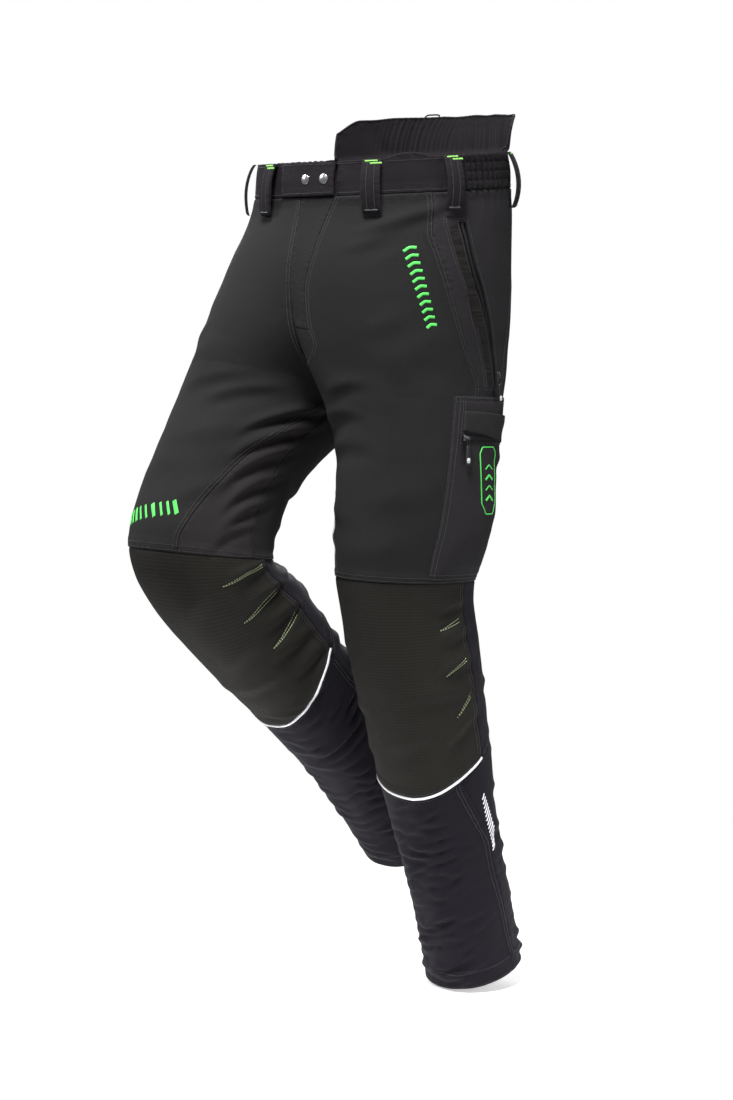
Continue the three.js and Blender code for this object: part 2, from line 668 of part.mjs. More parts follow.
// The fly zip is straight, behind the flap and a little to the wearer's left.
const FLY_ZIP_X = 16;
const FLY_ZIP_TOP = 64;
const FLY_ZIP_FOOT = 216;
const FLY_ZIP_DEPTH = 12;
function buildFlyZip() {
  const place = (s) => {
    const theta = middle(1, s, true, FLY_ZIP_X);
    return offsetPoint(1, theta, s, -FLY_ZIP_DEPTH);
  };
  const a = place(FLY_ZIP_TOP);
  const b = place(FLY_ZIP_FOOT);
  b.x = a.x;
  const frame = zipFrame(a, b, new THREE.Vector3(0, -1, 0));
  const length = b.distanceTo(a);
  const turn = new THREE.Quaternion().setFromRotationMatrix(frame);
  const outline = new THREE.Shape();
  const TAPE = 14;
  outline.moveTo(-TAPE, 0);
  outline.lineTo(TAPE, 0);
  outline.lineTo(TAPE, 1);
  outline.lineTo(2.6, 1);
  outline.lineTo(2.6, 2);
  outline.lineTo(-2.6, 2);
  outline.lineTo(-2.6, 1);
  outline.lineTo(-TAPE, 1);
  const tape = new THREE.ExtrudeGeometry(outline, { depth: length, bevelEnabled: false });
  tape.rotateY(Math.PI / 2);
  const zip = addMesh('fly_zip', COLOURS.zip, tape);
  zip.quaternion.copy(turn);
  zip.position.copy(a);
  const slider = addMesh('fly_slider', COLOURS.metal, sliderGeometry(SLIDER.length, SLIDER.width, 2.6));
  slider.quaternion.copy(turn);
  const away = new THREE.Vector3(0, 1, 0).applyQuaternion(turn);
  const down = new THREE.Vector3(1, 0, 0).applyQuaternion(turn);
  slider.position.copy(a).addScaledVector(away, 2.4).addScaledVector(down, SLIDER.length / 2 + 3);
  panel('fly_shield', COLOURS.lining, 1, {
    top: () => BAND_HEIGHT + 6, foot: () => FLY_END + 4, levels: spread(5),
    edges: [(s) => middle(1, s, true) + 0.5, (s) => along(FLY_SEAM, s) + 2],
    steps: [3], out: -FLY_ZIP_DEPTH - 8, inn: -FLY_ZIP_DEPTH - 9.4,
  });
}

// ---- Cargo pocket, on the left thigh ----
const cargoFront = (s) => along(CARGO_FRONT, s);
const CARGO_BASE = 3.4;
const cargoBulge = (s, theta) => {
  const across = clamp01((theta - cargoFront(s)) / (CARGO_BACK - cargoFront(s)));
  const down = clamp01((s - CARGO_ZIP - 8) / (CARGO_FOOT - CARGO_ZIP - 8));
  return CARGO_BASE + 6 * Math.sin(Math.PI * across) * Math.sin(Math.PI * down);
};
const CARGO_SLIDER_AT = 84;

function buildCargo() {
  const levels = [CARGO_TOP, FLAP_TOP, CARGO_ZIP, 372, 400, 440, 480, 515, CARGO_FOOT];
  panel('cargo_pocket', COLOURS.cargo, 1, {
    top: () => CARGO_TOP, foot: () => CARGO_FOOT,
    levels: levels.map((s) => (s - CARGO_TOP) / (CARGO_FOOT - CARGO_TOP)),
    edges: [cargoFront, () => CARGO_BACK], steps: [6], out: cargoBulge, inn: 1.8,
  });
  panel('cargo_flap', COLOURS.cargo, 1, {
    top: () => FLAP_TOP, foot: () => CARGO_ZIP - 6, levels: [0, 1],
    edges: [(s) => cargoFront(s) + 3, () => CARGO_BACK - 3], steps: [6],
    out: CARGO_BASE + 2.2, inn: CARGO_BASE + 0.6,
  });
  panel('cargo_zip', COLOURS.zip, 1, {
    top: () => CARGO_ZIP - 5, foot: () => CARGO_ZIP + 5, levels: [0, 1],
    edges: [(s) => cargoFront(s) + 3, () => CARGO_BACK - 3], steps: [6],
    out: CARGO_BASE + 1.4, inn: CARGO_BASE + 0.6,
  });
  const spot = (theta, out) => offsetPoint(1, theta, CARGO_ZIP, out);
  const normal = surfaceNormal(1, CARGO_SLIDER_AT, CARGO_ZIP);
  const slider = addMesh('cargo_slider', COLOURS.metal, sliderGeometry(SLIDER.length, SLIDER.width, 2.8));
  slider.quaternion.setFromRotationMatrix(
    zipFrame(spot(CARGO_SLIDER_AT + 3, 0), spot(CARGO_SLIDER_AT - 3, 0), normal),
  );
  slider.position.copy(spot(CARGO_SLIDER_AT, CARGO_BASE + 2.6));
  hangPuller('cargo_puller', spot(CARGO_SLIDER_AT, CARGO_BASE + 7.2), normal);
}

// ---- Assembly ----
buildWaist();
buildBeltLoops();
buildSnaps();
[[1, 'left'], [-1, 'right']].forEach(([side, word]) => {
  buildFront(side, word);
  buildSide(side, word);
  buildSeat(side, word);
  buildGusset(side, word);
  buildLowerLeg(side, word);
  buildInnerLayers(side, word);
  buildHandZip(side, word);
});
buildFlyFlap();
buildFlyZip();
buildCargo();

export default model;
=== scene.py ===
"""Chainsaw protection trousers: the fabric, seams, stitching and trim around the CAD frame.

Every fabric piece is a patch of one surface per half of the garment, the same one as the CAD
part's. A place on it is (side, theta, s): side 1 is the wearer's left and -1 the right, theta
runs from 0 at the front through 90 outside and 180 behind to 270 inside, and s is the distance
down from the waist edge. Lengths here are in millimetres and turn to metres in make_mesh().
"""
import bpy
import json
import math
import numpy as np
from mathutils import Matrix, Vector


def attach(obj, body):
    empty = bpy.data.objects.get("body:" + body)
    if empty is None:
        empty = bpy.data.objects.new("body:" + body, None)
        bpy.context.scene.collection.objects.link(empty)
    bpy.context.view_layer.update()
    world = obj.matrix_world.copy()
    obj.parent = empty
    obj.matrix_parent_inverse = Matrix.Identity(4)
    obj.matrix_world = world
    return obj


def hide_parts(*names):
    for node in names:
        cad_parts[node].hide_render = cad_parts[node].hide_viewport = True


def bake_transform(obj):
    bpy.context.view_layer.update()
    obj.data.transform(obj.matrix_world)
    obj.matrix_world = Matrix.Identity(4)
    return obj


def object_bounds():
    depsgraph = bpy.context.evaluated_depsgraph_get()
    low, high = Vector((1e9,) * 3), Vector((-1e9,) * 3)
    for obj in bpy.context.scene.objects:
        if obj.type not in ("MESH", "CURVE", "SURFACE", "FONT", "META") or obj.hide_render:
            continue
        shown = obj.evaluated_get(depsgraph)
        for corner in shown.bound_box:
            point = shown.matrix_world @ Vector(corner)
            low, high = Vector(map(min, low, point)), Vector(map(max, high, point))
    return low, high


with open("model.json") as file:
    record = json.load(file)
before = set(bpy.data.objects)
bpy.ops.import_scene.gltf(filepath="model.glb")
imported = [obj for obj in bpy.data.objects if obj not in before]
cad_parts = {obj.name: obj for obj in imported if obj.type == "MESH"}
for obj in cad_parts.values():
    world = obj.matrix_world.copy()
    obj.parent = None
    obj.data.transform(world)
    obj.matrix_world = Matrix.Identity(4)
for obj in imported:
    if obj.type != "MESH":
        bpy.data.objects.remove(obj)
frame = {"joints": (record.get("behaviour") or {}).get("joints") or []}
cad_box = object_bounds()

# ---- Driving dimensions, as in the CAD part ----
MM = 0.001
LEFT, RIGHT = 1, -1
WORDS = {LEFT: "left", RIGHT: "right"}
WAIST_TILT = 0.076
TILT_ENDS = 220
BAND_HEIGHT = 44
CROTCH = 300
THIGH_END = 540
HEM = 1050
CLOTH = 1.5
BAND = 3.0
PAD_OUT, PAD_IN = 10, 16
LINING_OUT = 19
WAIST_RADIUS = 155
SEAM_GAP = 0.3
MM_PER_DEGREE = 1.45  # round a leg, on average

WAIST_EDGE = [0, 0, 0, 0, 172, 136, 136, 0, 2.1]
BAND_FOOT = [60, 0, 0, -60, 179, 141, 140, 0, 2.1]
# s, centre x, y, z, half width, front depth, back depth, lean in degrees, squareness
STATIONS = {
    LEFT: [
        WAIST_EDGE,
        BAND_FOOT,
        [130, 23, -12, -130, 158, 138, 144, 0, 2.2],
        [210, 57, -20, -210, 123, 124, 136, 2, 2.3],
        [300, 90, -26, -294, 90, 107, 116, 3, 2.3],
        [350, 96, -33, -342, 89, 98, 106, 5, 2.3],
        [450, 97, -42, -438, 89, 95, 97, 5, 2.3],
        [550, 94, -52, -530, 80, 84, 83, 2, 2.3],
        [650, 96, -32, -630, 76, 80, 77, -10, 2.3],
        [770, 96, -1, -755, 68, 70, 68, -15, 2.3],
        [890, 97, 32, -880, 61, 62, 60, -16, 2.3],
        [1050, 98, 73, -1037, 60, 61, 60, -16, 2.3],
    ],
    RIGHT: [
        WAIST_EDGE,
        BAND_FOOT,
        [130, 23, -16, -130, 166, 148, 146, 5, 2.2],
        [210, 58, -48, -210, 130, 140, 137, 12, 2.3],
        [300, 93, -95, -292, 93, 119, 114, 21, 2.3],
        [350, 106, -121, -334, 88, 104, 100, 24, 2.3],
        [450, 116, -176, -415, 82, 90, 88, 26, 2.3],
        [550, 115, -203, -503, 85, 90, 86, 4, 2.3],
        [650, 109, -130, -585, 77, 80, 76, -42, 2.3],
        [770, 100, -46, -672, 71, 73, 69, -48, 2.3],
        [890, 89, 42, -765, 68, 69, 66, -49, 2.3],
        [1050, 77, 130, -885, 68, 66, 64, -50, 2.3],
    ],
}

# Seam lines: [s, theta] points, joined by straight stretches.
SIDE_SEAM = [[0, 60], [96, 62], [122, 67], [214, 82], [286, 95], [THIGH_END, 98]]
BACK_SEAM = [[0, 116], [120, 122], [THIGH_END, 128]]
INSEAM = 268
GUSSET_SEAM = [[CROTCH, -90], [386, -74], [452, -56], [524, -31], [THIGH_END, -29]]
KNEE_OUTER, KNEE_INNER = 101, -108
CALF_SEAM = [[700, 70], [790, 72], [868, 94], [912, 95], [1012, 104], [HEM, 106]]
CALF_INNER = -104
WELT_FRONT = [[82, 72], [286, 106]]
WELT_BACK = [[82, 82], [286, 118]]
WELT_TOP, WELT_END = 82, 286
FLY_END = 230
FLY_SEAM = [[BAND_HEIGHT, 17], [FLY_END, -14]]
PIPING_FOOT = {LEFT: 792, RIGHT: 770}
PIPING_CENTRE, PIPING_RISE, PIPING_WIDTH = 15, 28, 3.4
CARGO_FRONT = [[300, 77], [528, 66]]
CARGO_BACK, CARGO_TOP, CARGO_FOOT, CARGO_ZIP, FLAP_TOP = 134, 300, 536, 353, 318
CARGO_BASE = 3.4
MIDDLE_BLEND = 110
SHIFT_FADES = 100


# ---- Small maths ----
def mix(a, b, t):
    return a + (b - a) * t


def smooth(a, b, t):
    k = np.clip((np.asarray(t, float) - a) / (b - a), 0, 1)
    return k * k * (3 - 2 * k)


def hump(t, centre, half):
    """1 at the centre, falling smoothly to 0 at half either side."""
    return smooth(half, 0, np.abs(np.asarray(t, float) - centre))


def along(points, s):
    """The second number of a row of points at s, joined by straight stretches."""
    table = np.array(points, float)
    return np.interp(s, table[:, 0], table[:, 1])


def wrapped(angle):
    """The same angle in degrees, from -180 to 180."""
    return (angle + 180) % 360 - 180


def circle(count):
    return np.linspace(0, 2 * np.pi, count, endpoint=False)


def floats(*values):
    """The values as float arrays of one shape."""
    return np.broadcast_arrays(*(np.asarray(value, float) for value in values))


def constant(value):
    """A line that stays at one value."""
    return lambda where: value + 0 * where


def run_along(points):
    """The distance from the first point to each of them, along the line."""
    return np.r_[0, np.cumsum(np.linalg.norm(np.diff(points, axis=0), axis=1))]


NOISE_CELLS = 64


def noise(x, y, seed, wrap=NOISE_CELLS):
    """Smooth value noise, one hill or dip per unit, from -1 to 1, the same again wrap units on."""
    table = np.random.default_rng(seed).uniform(-1, 1, (NOISE_CELLS, NOISE_CELLS))
    x, y = floats(x, y)
    i, j = np.floor(x).astype(int), np.floor(y).astype(int)
    u, v = x - i, y - j
    u, v = u * u * (3 - 2 * u), v * v * (3 - 2 * v)
    at = lambda a, b: table[(i + a) % wrap, (j + b) % NOISE_CELLS]
    return mix(mix(at(0, 0), at(1, 0), u), mix(at(0, 1), at(1, 1), u), v)


# ---- Surface ----
def slopes_of(table):
    """How fast each column changes with the first one."""
    ahead = np.vstack([table[1:], table[-1:]])
    behind = np.vstack([table[:1], table[:-1]])
    return (ahead - behind)[:, 1:] / (ahead - behind)[:, :1]


def soften(rows, reach):
    """Each column smoothed over reach rows either way."""
    window = np.hanning(2 * reach + 3)[1:-1]
    padded = np.pad(rows, ((reach, reach), (0, 0)), mode="reflect", reflect_type="odd")
    return np.stack([np.convolve(column, window / window.sum(), "valid") for column in padded.T], 1)


def curve_through(rows, s):
    """A smooth curve through the stations."""
    table = np.array(rows, float)
    slope = slopes_of(table)
    i = np.clip(np.searchsorted(table[:, 0], s) - 1, 0, len(table) - 2)
    h = (table[i + 1, 0] - table[i, 0])[..., None]
    u = (s - table[i, 0])[..., None] / h
    start = (2 * u**3 - 3 * u**2 + 1) * table[i, 1:] + (u**3 - 2 * u**2 + u) * h * slope[i]
    return start + (3 * u**2 - 2 * u**3) * table[i + 1, 1:] + (u**3 - u**2) * h * slope[i + 1]


LEVELS = np.arange(-80.0, HEM + 40, 2.5)
LEG_CURVES = {side: soften(curve_through(rows, LEVELS), 12) for side, rows in STATIONS.items()}


def station(side, s):
    """x, y, z, width, front, back, lean and squareness at s."""
    curve = LEG_CURVES[side]
    return np.stack([np.interp(s, LEVELS, curve[:, k]) for k in range(curve.shape[1])], -1)


def oval(side, theta, s):
    """A point of the plain section, with x away from the middle of the garment."""
    x, y, z, width, front, back, lean, square = np.moveaxis(station(side, s), -1, 0)
    angle = np.radians(theta)
    c, n = np.cos(angle), np.sin(angle)
    power = 2 / square
    across = np.sign(n) * np.abs(n) ** power * width
    ahead = np.sign(c) * np.abs(c) ** power * np.where(c > 0, front, back)
    lean = np.radians(lean)
    y = y - ahead * np.cos(lean)
    z = z + ahead * np.sin(lean) + WAIST_TILT * np.clip(1 - s / TILT_ENDS, 0, 1) * y
    return np.stack([x + across, y, z], -1)


def middle(side, s, front=True, gap=0.0):
    """Theta where the section meets the middle plane, in front or behind."""
    g = station(side, np.minimum(s, CROTCH))
    q = (gap - g[..., 0]) / g[..., 3]
    sine = np.sign(q) * np.minimum(1, np.abs(q)) ** (g[..., 7] / 2)
    angle = np.degrees(np.arcsin(sine))
    return angle if front else 180 - angle


def shift_table(side, front):
    """The shift onto the seam shared with the other half, at each of SHIFT_LEVELS."""
    level = np.minimum(SHIFT_LEVELS, CROTCH)
    own = oval(side, middle(side, level, front), level)
    other = oval(-side, middle(-side, level, front), level)
    fade = 0.5 * (1 - smooth(CROTCH, CROTCH + SHIFT_FADES, SHIFT_LEVELS))
    return (other - own) * fade[:, None]


SHIFT_LEVELS = np.arange(-60.0, HEM + 30, 5)
SHIFTS = {(side, front): shift_table(side, front) for side in (LEFT, RIGHT) for front in (True, False)}
SOFT_SHIFTS = {key: soften(rows, 10) for key, rows in SHIFTS.items()}


def surface(side, theta, s):
    """A point of the plain surface, moved onto the seam it shares with the other half."""
    theta, s = floats(theta, s)
    p = oval(side, theta, s)
    near = 1 - smooth(0, MIDDLE_BLEND, np.abs(p[..., 0]))
    at_middle = 1 - smooth(5, 60, np.abs(p[..., 0]))
    front = np.cos(np.radians(theta)) >= 0
    for axis in (1, 2):
        look = lambda tables, where: np.interp(s, SHIFT_LEVELS, tables[side, where][:, axis])
        exact = np.where(front, look(SHIFTS, True), look(SHIFTS, False))
        soft = np.where(front, look(SOFT_SHIFTS, True), look(SOFT_SHIFTS, False))
        p[..., axis] += near * mix(soft, exact, at_middle)
    p[..., 0] *= side
    return p


def unit(v):
    return v / np.maximum(np.linalg.norm(v, axis=-1, keepdims=True), 1e-9)


def normal(side, theta, s):
    """The direction straight out of the plain surface."""
    theta, s = floats(theta, s)
    turn = surface(side, theta + 1, s) - surface(side, theta - 1, s)
    down = surface(side, theta, s + 2) - surface(side, theta, s - 2)
    n = unit(np.cross(turn, down))
    g = station(side, s)
    centre = np.stack([side * g[..., 0], g[..., 1], g[..., 2]], -1)
    away = np.sum(n * (surface(side, theta, s) - centre), -1, keepdims=True)
    return np.where(away < 0, -n, n)


def round_mm(side, theta, s):
    """Millimetres round the leg for each degree of theta."""
    return np.linalg.norm(surface(side, theta + 0.5, s) - surface(side, theta - 0.5, s), axis=-1)


# ---- Folds ----
def fold(theta, s, half, height, width, slant=0.0, bow=0.0):
    """One crease: its middle, half length, height, width, slant in degrees (rising towards larger
    theta) and bow, all but the slant and theta in millimetres."""
    return dict(theta=theta, s=s, half=half, height=height, width=width, slant=slant, bow=bow)


def wrinkles(seed, count, theta, s, half, height, width, slant):
    """A run of creases spread evenly over a range of s, each a little different."""
    rng = np.random.default_rng(seed)
    made = []
    for k in range(count):
        at = mix(s[0], s[1], (k + 0.5 + rng.uniform(-0.35, 0.35)) / count)
        made.append(fold(
            rng.uniform(*theta), at, rng.uniform(*half), rng.uniform(*height),
            rng.uniform(*width), rng.uniform(*slant), rng.uniform(-6, 8),
        ))
    return made


FOLDS = {
    LEFT: [
        fold(48, 74, 44, 3.6, 7, 28),
        fold(34, 98, 34, 2.4, 8, 35),
        fold(-10, 292, 34, 3.0, 8, 26, 6),
        fold(-26, 330, 44, 4.2, 9, 16, 8),
        fold(-20, 368, 52, 2.6, 11, 10, 8),
        fold(44, 246, 62, 1.5, 15, 40),
        fold(36, 204, 50, 1.2, 13, 30),
        fold(30, 430, 76, 1.6, 17, 16),
        fold(-30, 455, 54, 2.2, 12, -10),
        fold(10, 500, 60, 1.6, 13, 12),
        fold(88, 566, 30, 3.2, 7, 14, 5),
        fold(92, 604, 34, 3.0, 7, 12, 5),
        fold(88, 640, 36, 3.4, 8, 8, 5),
        fold(60, 668, 54, 2.6, 9, -4, 6),
        fold(82, 716, 48, 3.2, 8, 26),
        fold(20, 722, 56, 2.0, 10, 12, 5),
        fold(-30, 612, 44, 1.8, 10, 16, 6),
        fold(-44, 690, 44, 3.0, 8, 20, 6),
        fold(-56, 742, 40, 3.2, 8, 14, 6),
    ] + wrinkles(11, 22, (-26, 26), (800, 1040), (20, 46), (2.0, 4.4), (3.2, 5.2), (4, 22))
      + wrinkles(12, 12, (14, 66), (850, 1044), (18, 40), (1.2, 2.8), (4, 6.5), (-4, 14))
      + wrinkles(13, 14, (108, 170), (760, 1040), (20, 48), (2.0, 4.6), (5, 8), (-24, -4))
      + wrinkles(14, 16, (180, 262), (790, 1040), (24, 54), (1.8, 4.4), (5, 8), (-14, 14))
      + wrinkles(15, 10, (150, 215), (560, 740), (34, 66), (3.0, 5.6), (6, 9), (-12, 12))
      + wrinkles(16, 9, (-150, -108), (560, 740), (24, 46), (2.4, 4.6), (6, 9), (-24, 4))
      + wrinkles(17, 9, (130, 230), (316, 520), (30, 70), (1.4, 3.2), (8, 13), (-30, 30))
      + wrinkles(18, 10, (-92, -58), (318, 524), (26, 50), (2.4, 4.6), (6.5, 10), (10, 34))
      + wrinkles(19, 5, (-60, 66), (1022, 1046), (22, 44), (1.8, 3.2), (4, 6), (-8, 12)),
    RIGHT: [
        fold(-66, 352, 58, 6.0, 6.5, -50, 8),
        fold(-70, 384, 62, 6.4, 6, -54, 8),
        fold(-74, 416, 62, 6.2, 6, -56, 6),
        fold(-78, 450, 58, 6.0, 6, -54, 6),
        fold(-78, 484, 52, 5.4, 6, -50, 5),
        fold(-72, 512, 40, 4.2, 5.5, -38, 5),
        fold(-30, 334, 46, 3.6, 9, -30, 6),
        fold(-6, 322, 46, 2.2, 11, -26, 8),
        fold(-20, 402, 66, 1.8, 14, -24),
        fold(-40, 470, 48, 2.6, 10, -30),
        fold(14, 452, 60, 1.4, 15, -20),
        fold(40, 262, 60, 2.0, 13, -38),
        fold(8, 560, 50, 1.5, 11, -12, 5),
        fold(-24, 590, 44, 2.6, 9, -26, 5),
        fold(-36, 640, 50, 2.8, 9, -14, 6),
        fold(-30, 686, 50, 2.6, 9, -6, 6),
        fold(14, 694, 56, 1.8, 11, -10, 5),
        fold(-88, 556, 36, 5.4, 7.5, -20, 5),
        fold(-96, 592, 40, 5.6, 7.5, -4, 6),
        fold(-92, 630, 42, 5.2, 7.5, 10, 6),
        fold(-84, 668, 44, 4.4, 7.5, 18, 6),
        fold(-88, 704, 44, 4.2, 7.5, 14, 6),
    ] + wrinkles(21, 24, (-106, -30), (735, 1036), (30, 66), (2.2, 4.6), (3.2, 5.4), (-18, 4))
      + wrinkles(22, 14, (-14, 58), (790, 1040), (22, 50), (1.4, 3.4), (5, 8), (-14, 8))
      + wrinkles(23, 14, (180, 250), (690, 1036), (26, 58), (2.4, 5.0), (5, 8), (-12, 14))
      + wrinkles(24, 12, (100, 175), (720, 1036), (22, 50), (1.6, 4.2), (5, 8), (-10, 20))
      + wrinkles(25, 9, (140, 236), (540, 700), (34, 66), (3.4, 6.4), (6, 9), (-12, 12))
      + wrinkles(26, 8, (110, 230), (330, 520), (30, 70), (1.4, 3.4), (9, 13), (-26, 26)),
}


def crease_height(side, theta, s):
    height = np.zeros(np.shape(theta))
    for f in FOLDS[side]:
        x, y = wrapped(theta - f["theta"]) * MM_PER_DEGREE, s - f["s"]
        reach = f["half"] + 3 * f["width"]
        close = (np.abs(x) < reach) & (np.abs(y) < reach)
        if not close.any():
            continue
        x, y = x[close], y[close]
        c, n = math.cos(math.radians(f["slant"])), math.sin(math.radians(f["slant"]))
        t = (x * c - y * n) / f["half"]
        q = (y * c + x * n - f["bow"] * t**2) / f["width"]
        ends = np.clip(1 - t**2, 0, 1) ** 1.5
        height[close] += f["height"] * ends * (np.exp(-np.abs(q) ** 1.5) - 0.6 * np.exp(-(q - 1.6) ** 2))
    return height


def gathers(phi, period, seed):
    """Elastic gathers round the waist, from 0 in the valleys to 1 on the ridges."""
    warped = phi / period + 0.55 * noise(phi / (2.3 * period), 0.5, seed)
    ridge = np.abs(np.sin(np.pi * warped)) ** 0.75
    return ridge * (0.72 + 0.28 * noise(phi / (1.7 * period), 7.5, seed + 1))


ELASTIC = (76, 115)
SHIN_STARTS = {LEFT: (800, 850), RIGHT: (740, 800)}  # where the shin's rumples fade in
SHIN_ENDS = (1046, 1030)  # and where they fade out
RIPPLE_PITCH = 15.5
RIPPLE_HEIGHT = 1.9
RIPPLE_CLIMB = {LEFT: 6, RIGHT: -2}  # ripples climbed in one turn of the leg
RIPPLE_MIDDLE = {LEFT: 4, RIGHT: -52}  # where round the shin they are deepest
CREASE_LIMIT = 6.5  # no crease stands higher or lies deeper than this
GATHER_PERIOD = 3.3
GATHER_SEED = 5


def elastic_share(phi):
    """1 over the elastic side pieces of the waist, falling to 0 just outside them."""
    phi = np.abs(phi)
    return smooth(ELASTIC[0] - 4, ELASTIC[0] + 3, phi) * smooth(ELASTIC[1] + 6, ELASTIC[1] - 2, phi)


def leg_noise(turn, s, size, tall, seed):
    """Noise round a leg in cells of size by tall millimetres, with no step behind it."""
    cells = round(360 * MM_PER_DEGREE / size)
    return noise(turn / 360 * cells, s / tall, seed, cells)


def shin_ripples(side, turn, s):
    """Close ripples round the shin, deepest on the side that RIPPLE_MIDDLE names."""
    rumple = smooth(*SHIN_STARTS[side], s) * smooth(*SHIN_ENDS, s)
    phase = s / RIPPLE_PITCH + RIPPLE_CLIMB[side] * turn / 360
    phase = phase + 0.6 * leg_noise(turn, s, 42, 60, 37 + side)
    ripple = 1.8 * np.abs(np.sin(np.pi * phase)) ** 0.7 - 1.1
    aside = np.abs(wrapped(turn - RIPPLE_MIDDLE[side]))
    spread = smooth(-0.5, 0.35, leg_noise(turn, s, 34, 26, 39 + side))
    spread = spread * mix(0.3, 1, smooth(62, 28, aside))
    return RIPPLE_HEIGHT * rumple * spread * ripple


def calmness(turn, s):
    """1 where the cloth is free, less where a hand pocket or the fly holds it flat."""
    calm = 1 - 0.75 * hump(s, 160, 110) * hump(np.abs(turn), 92, 24)
    return calm * (1 - 0.7 * hump(s, 140, 120) * hump(turn, 2, 26))


def cloth_height(side, theta, s):
    """How far the cloth stands off the plain surface."""
    theta, s = floats(theta, s)
    fixed = smooth(BAND_HEIGHT, BAND_HEIGHT + 14, s)
    turn = wrapped(theta)
    soft = shin_ripples(side, turn, s)
    for height, size, tall, seed in ((2.0, 75, 85, 31), (0.8, 30, 34, 33)):
        soft = soft + height * leg_noise(turn, s, size, tall, seed + side)
    fine = 0.16 * leg_noise(turn, s, 9, 10, 35 + side)
    bunch = elastic_share(theta) * smooth(92, BAND_HEIGHT, s)
    bunched = 2.6 * bunch * (gathers(theta, 2 * GATHER_PERIOD, GATHER_SEED) - 0.5)
    total = crease_height(side, theta, s) + soft + fine
    return fixed * calmness(turn, s) * CREASE_LIMIT * np.tanh(total / CREASE_LIMIT) + bunched


def skin(side, theta, s, lift=0.0):
    """A point on the folded cloth, or lift above it, kept on its own side of the middle."""
    p = surface(side, theta, s)
    p = p + normal(side, theta, s) * (cloth_height(side, theta, s) + lift)[..., None]
    p[..., 0] = side * np.maximum(side * p[..., 0], SEAM_GAP / 2)
    return p


def waist_skin(phi, s, lift):
    """A point lift above the plain surface round the waist, where phi runs from 0 in front to 360
    through the wearer's left."""
    phi, s, lift = floats(phi, s, lift)
    turn = wrapped(phi)
    left, right = (
        surface(side, side * turn, s) + normal(side, side * turn, s) * lift[..., None]
        for side in (LEFT, RIGHT))
    return np.where((turn >= 0)[..., None], left, right)


def waist_normal(phi, s):
    turn = wrapped(np.asarray(phi, float))
    return np.where((turn >= 0)[..., None], normal(LEFT, turn, s), normal(RIGHT, -turn, s))


# ---- Meshes ----
def add_object(name, data):
    thing = bpy.data.objects.new(name, data)
    bpy.context.scene.collection.objects.link(thing)
    return thing


def outward(points, quads):
    """The faces of a closed solid, turned to face out."""
    a, b, c, d = (points[quads[:, k]] for k in range(4))
    volume = np.sum(a * np.cross(b, c)) + np.sum(a * np.cross(c, d))
    return quads[:, ::-1] if volume < 0 else quads


SHARP = 55  # edges sharper than this many degrees are not shaded smooth


def make_mesh(name, points, quads, uv=None, edge=None):
    """A mesh object from millimetre points and four-cornered faces, shaded smooth."""
    used, quads = np.unique(quads, return_inverse=True)
    quads = quads.reshape(-1, 4)
    points = points.reshape(-1, 3)[used] * MM
    quads = outward(points, quads)
    mesh = bpy.data.meshes.new(name)
    mesh.vertices.add(len(points))
    mesh.vertices.foreach_set("co", points.astype(np.float32).ravel())
    mesh.loops.add(quads.size)
    mesh.loops.foreach_set("vertex_index", quads.astype(np.int32).ravel())
    mesh.polygons.add(len(quads))
    mesh.polygons.foreach_set("loop_start", np.arange(0, quads.size, 4, dtype=np.int32))
    if uv is not None:
        layer = mesh.uv_layers.new(name="cloth")
        flat = uv.reshape(-1, 2)[used][quads.ravel()] * MM
        layer.data.foreach_set("uv", flat.astype(np.float32).ravel())
    if edge is not None:
        attribute = mesh.attributes.new("edge", "FLOAT", "POINT")
        attribute.data.foreach_set("value", edge.reshape(-1)[used].astype(np.float32))
    mesh.update(calc_edges=True)
    mesh.validate()
    mesh.shade_smooth()
    mesh.set_sharp_from_angle(angle=math.radians(SHARP))
    return add_object(name, mesh)


def sheet_quads(rows, cols, kept=None, ring=False):
    """Faces of a closed sheet: an outer grid, an inner one after it, and the walls between."""
    index = np.arange(rows * cols).reshape(rows, cols)
    if ring:
        index = np.hstack([index, index[:, :1]])
    inner = index + rows * cols
    cells = np.ones((rows - 1, index.shape[1] - 1), bool) if kept is None else kept
    corners = lambda grid: (grid[:-1, :-1], grid[1:, :-1], grid[1:, 1:], grid[:-1, 1:])
    a, b, c, d = corners(index)
    e, f, g, h = corners(inner)
    empty = np.pad(~cells, 1, constant_values=True)
    if ring:
        empty[:, 0], empty[:, -1] = empty[:, -2], empty[:, 1]
    above, below = empty[:-2, 1:-1], empty[2:, 1:-1]
    before, after = empty[1:-1, :-2], empty[1:-1, 2:]
    walls = [
        ((a, b, c, d), cells), ((e, h, g, f), cells),
        ((a, d, h, e), cells & above), ((c, b, f, g), cells & below),
        ((b, a, e, f), cells & before), ((d, c, g, h), cells & after),
    ]
    return np.vstack([np.stack([v[where] for v in four], 1) for four, where in walls])


def sheet_piece(name, outer, inner, uv, edge, kept=None, ring=False):
    rows, cols = outer.shape[:2]
    quads = sheet_quads(rows, cols, kept, ring)
    points = np.vstack([outer.reshape(-1, 3), inner.reshape(-1, 3)])
    both = np.vstack([uv.reshape(-1, 2)] * 2)
    return make_mesh(name, points, quads, both, np.concatenate([edge.ravel()] * 2))


def ring_faces(count, sides):
    """Faces of a closed solid through count rings, each of an even number of points."""
    index = np.arange(count * sides).reshape(count, sides)
    index = np.hstack([index, index[:, :1]])
    walls = np.stack([index[:-1, :-1], index[1:, :-1], index[1:, 1:], index[:-1, 1:]], -1)
    k = np.arange(sides // 2 - 1)
    cap = np.stack([k, k + 1, sides - k - 2, sides - k - 1], 1)
    return np.vstack([walls.reshape(-1, 4), index[0][cap], index[-1][cap][:, ::-1]])


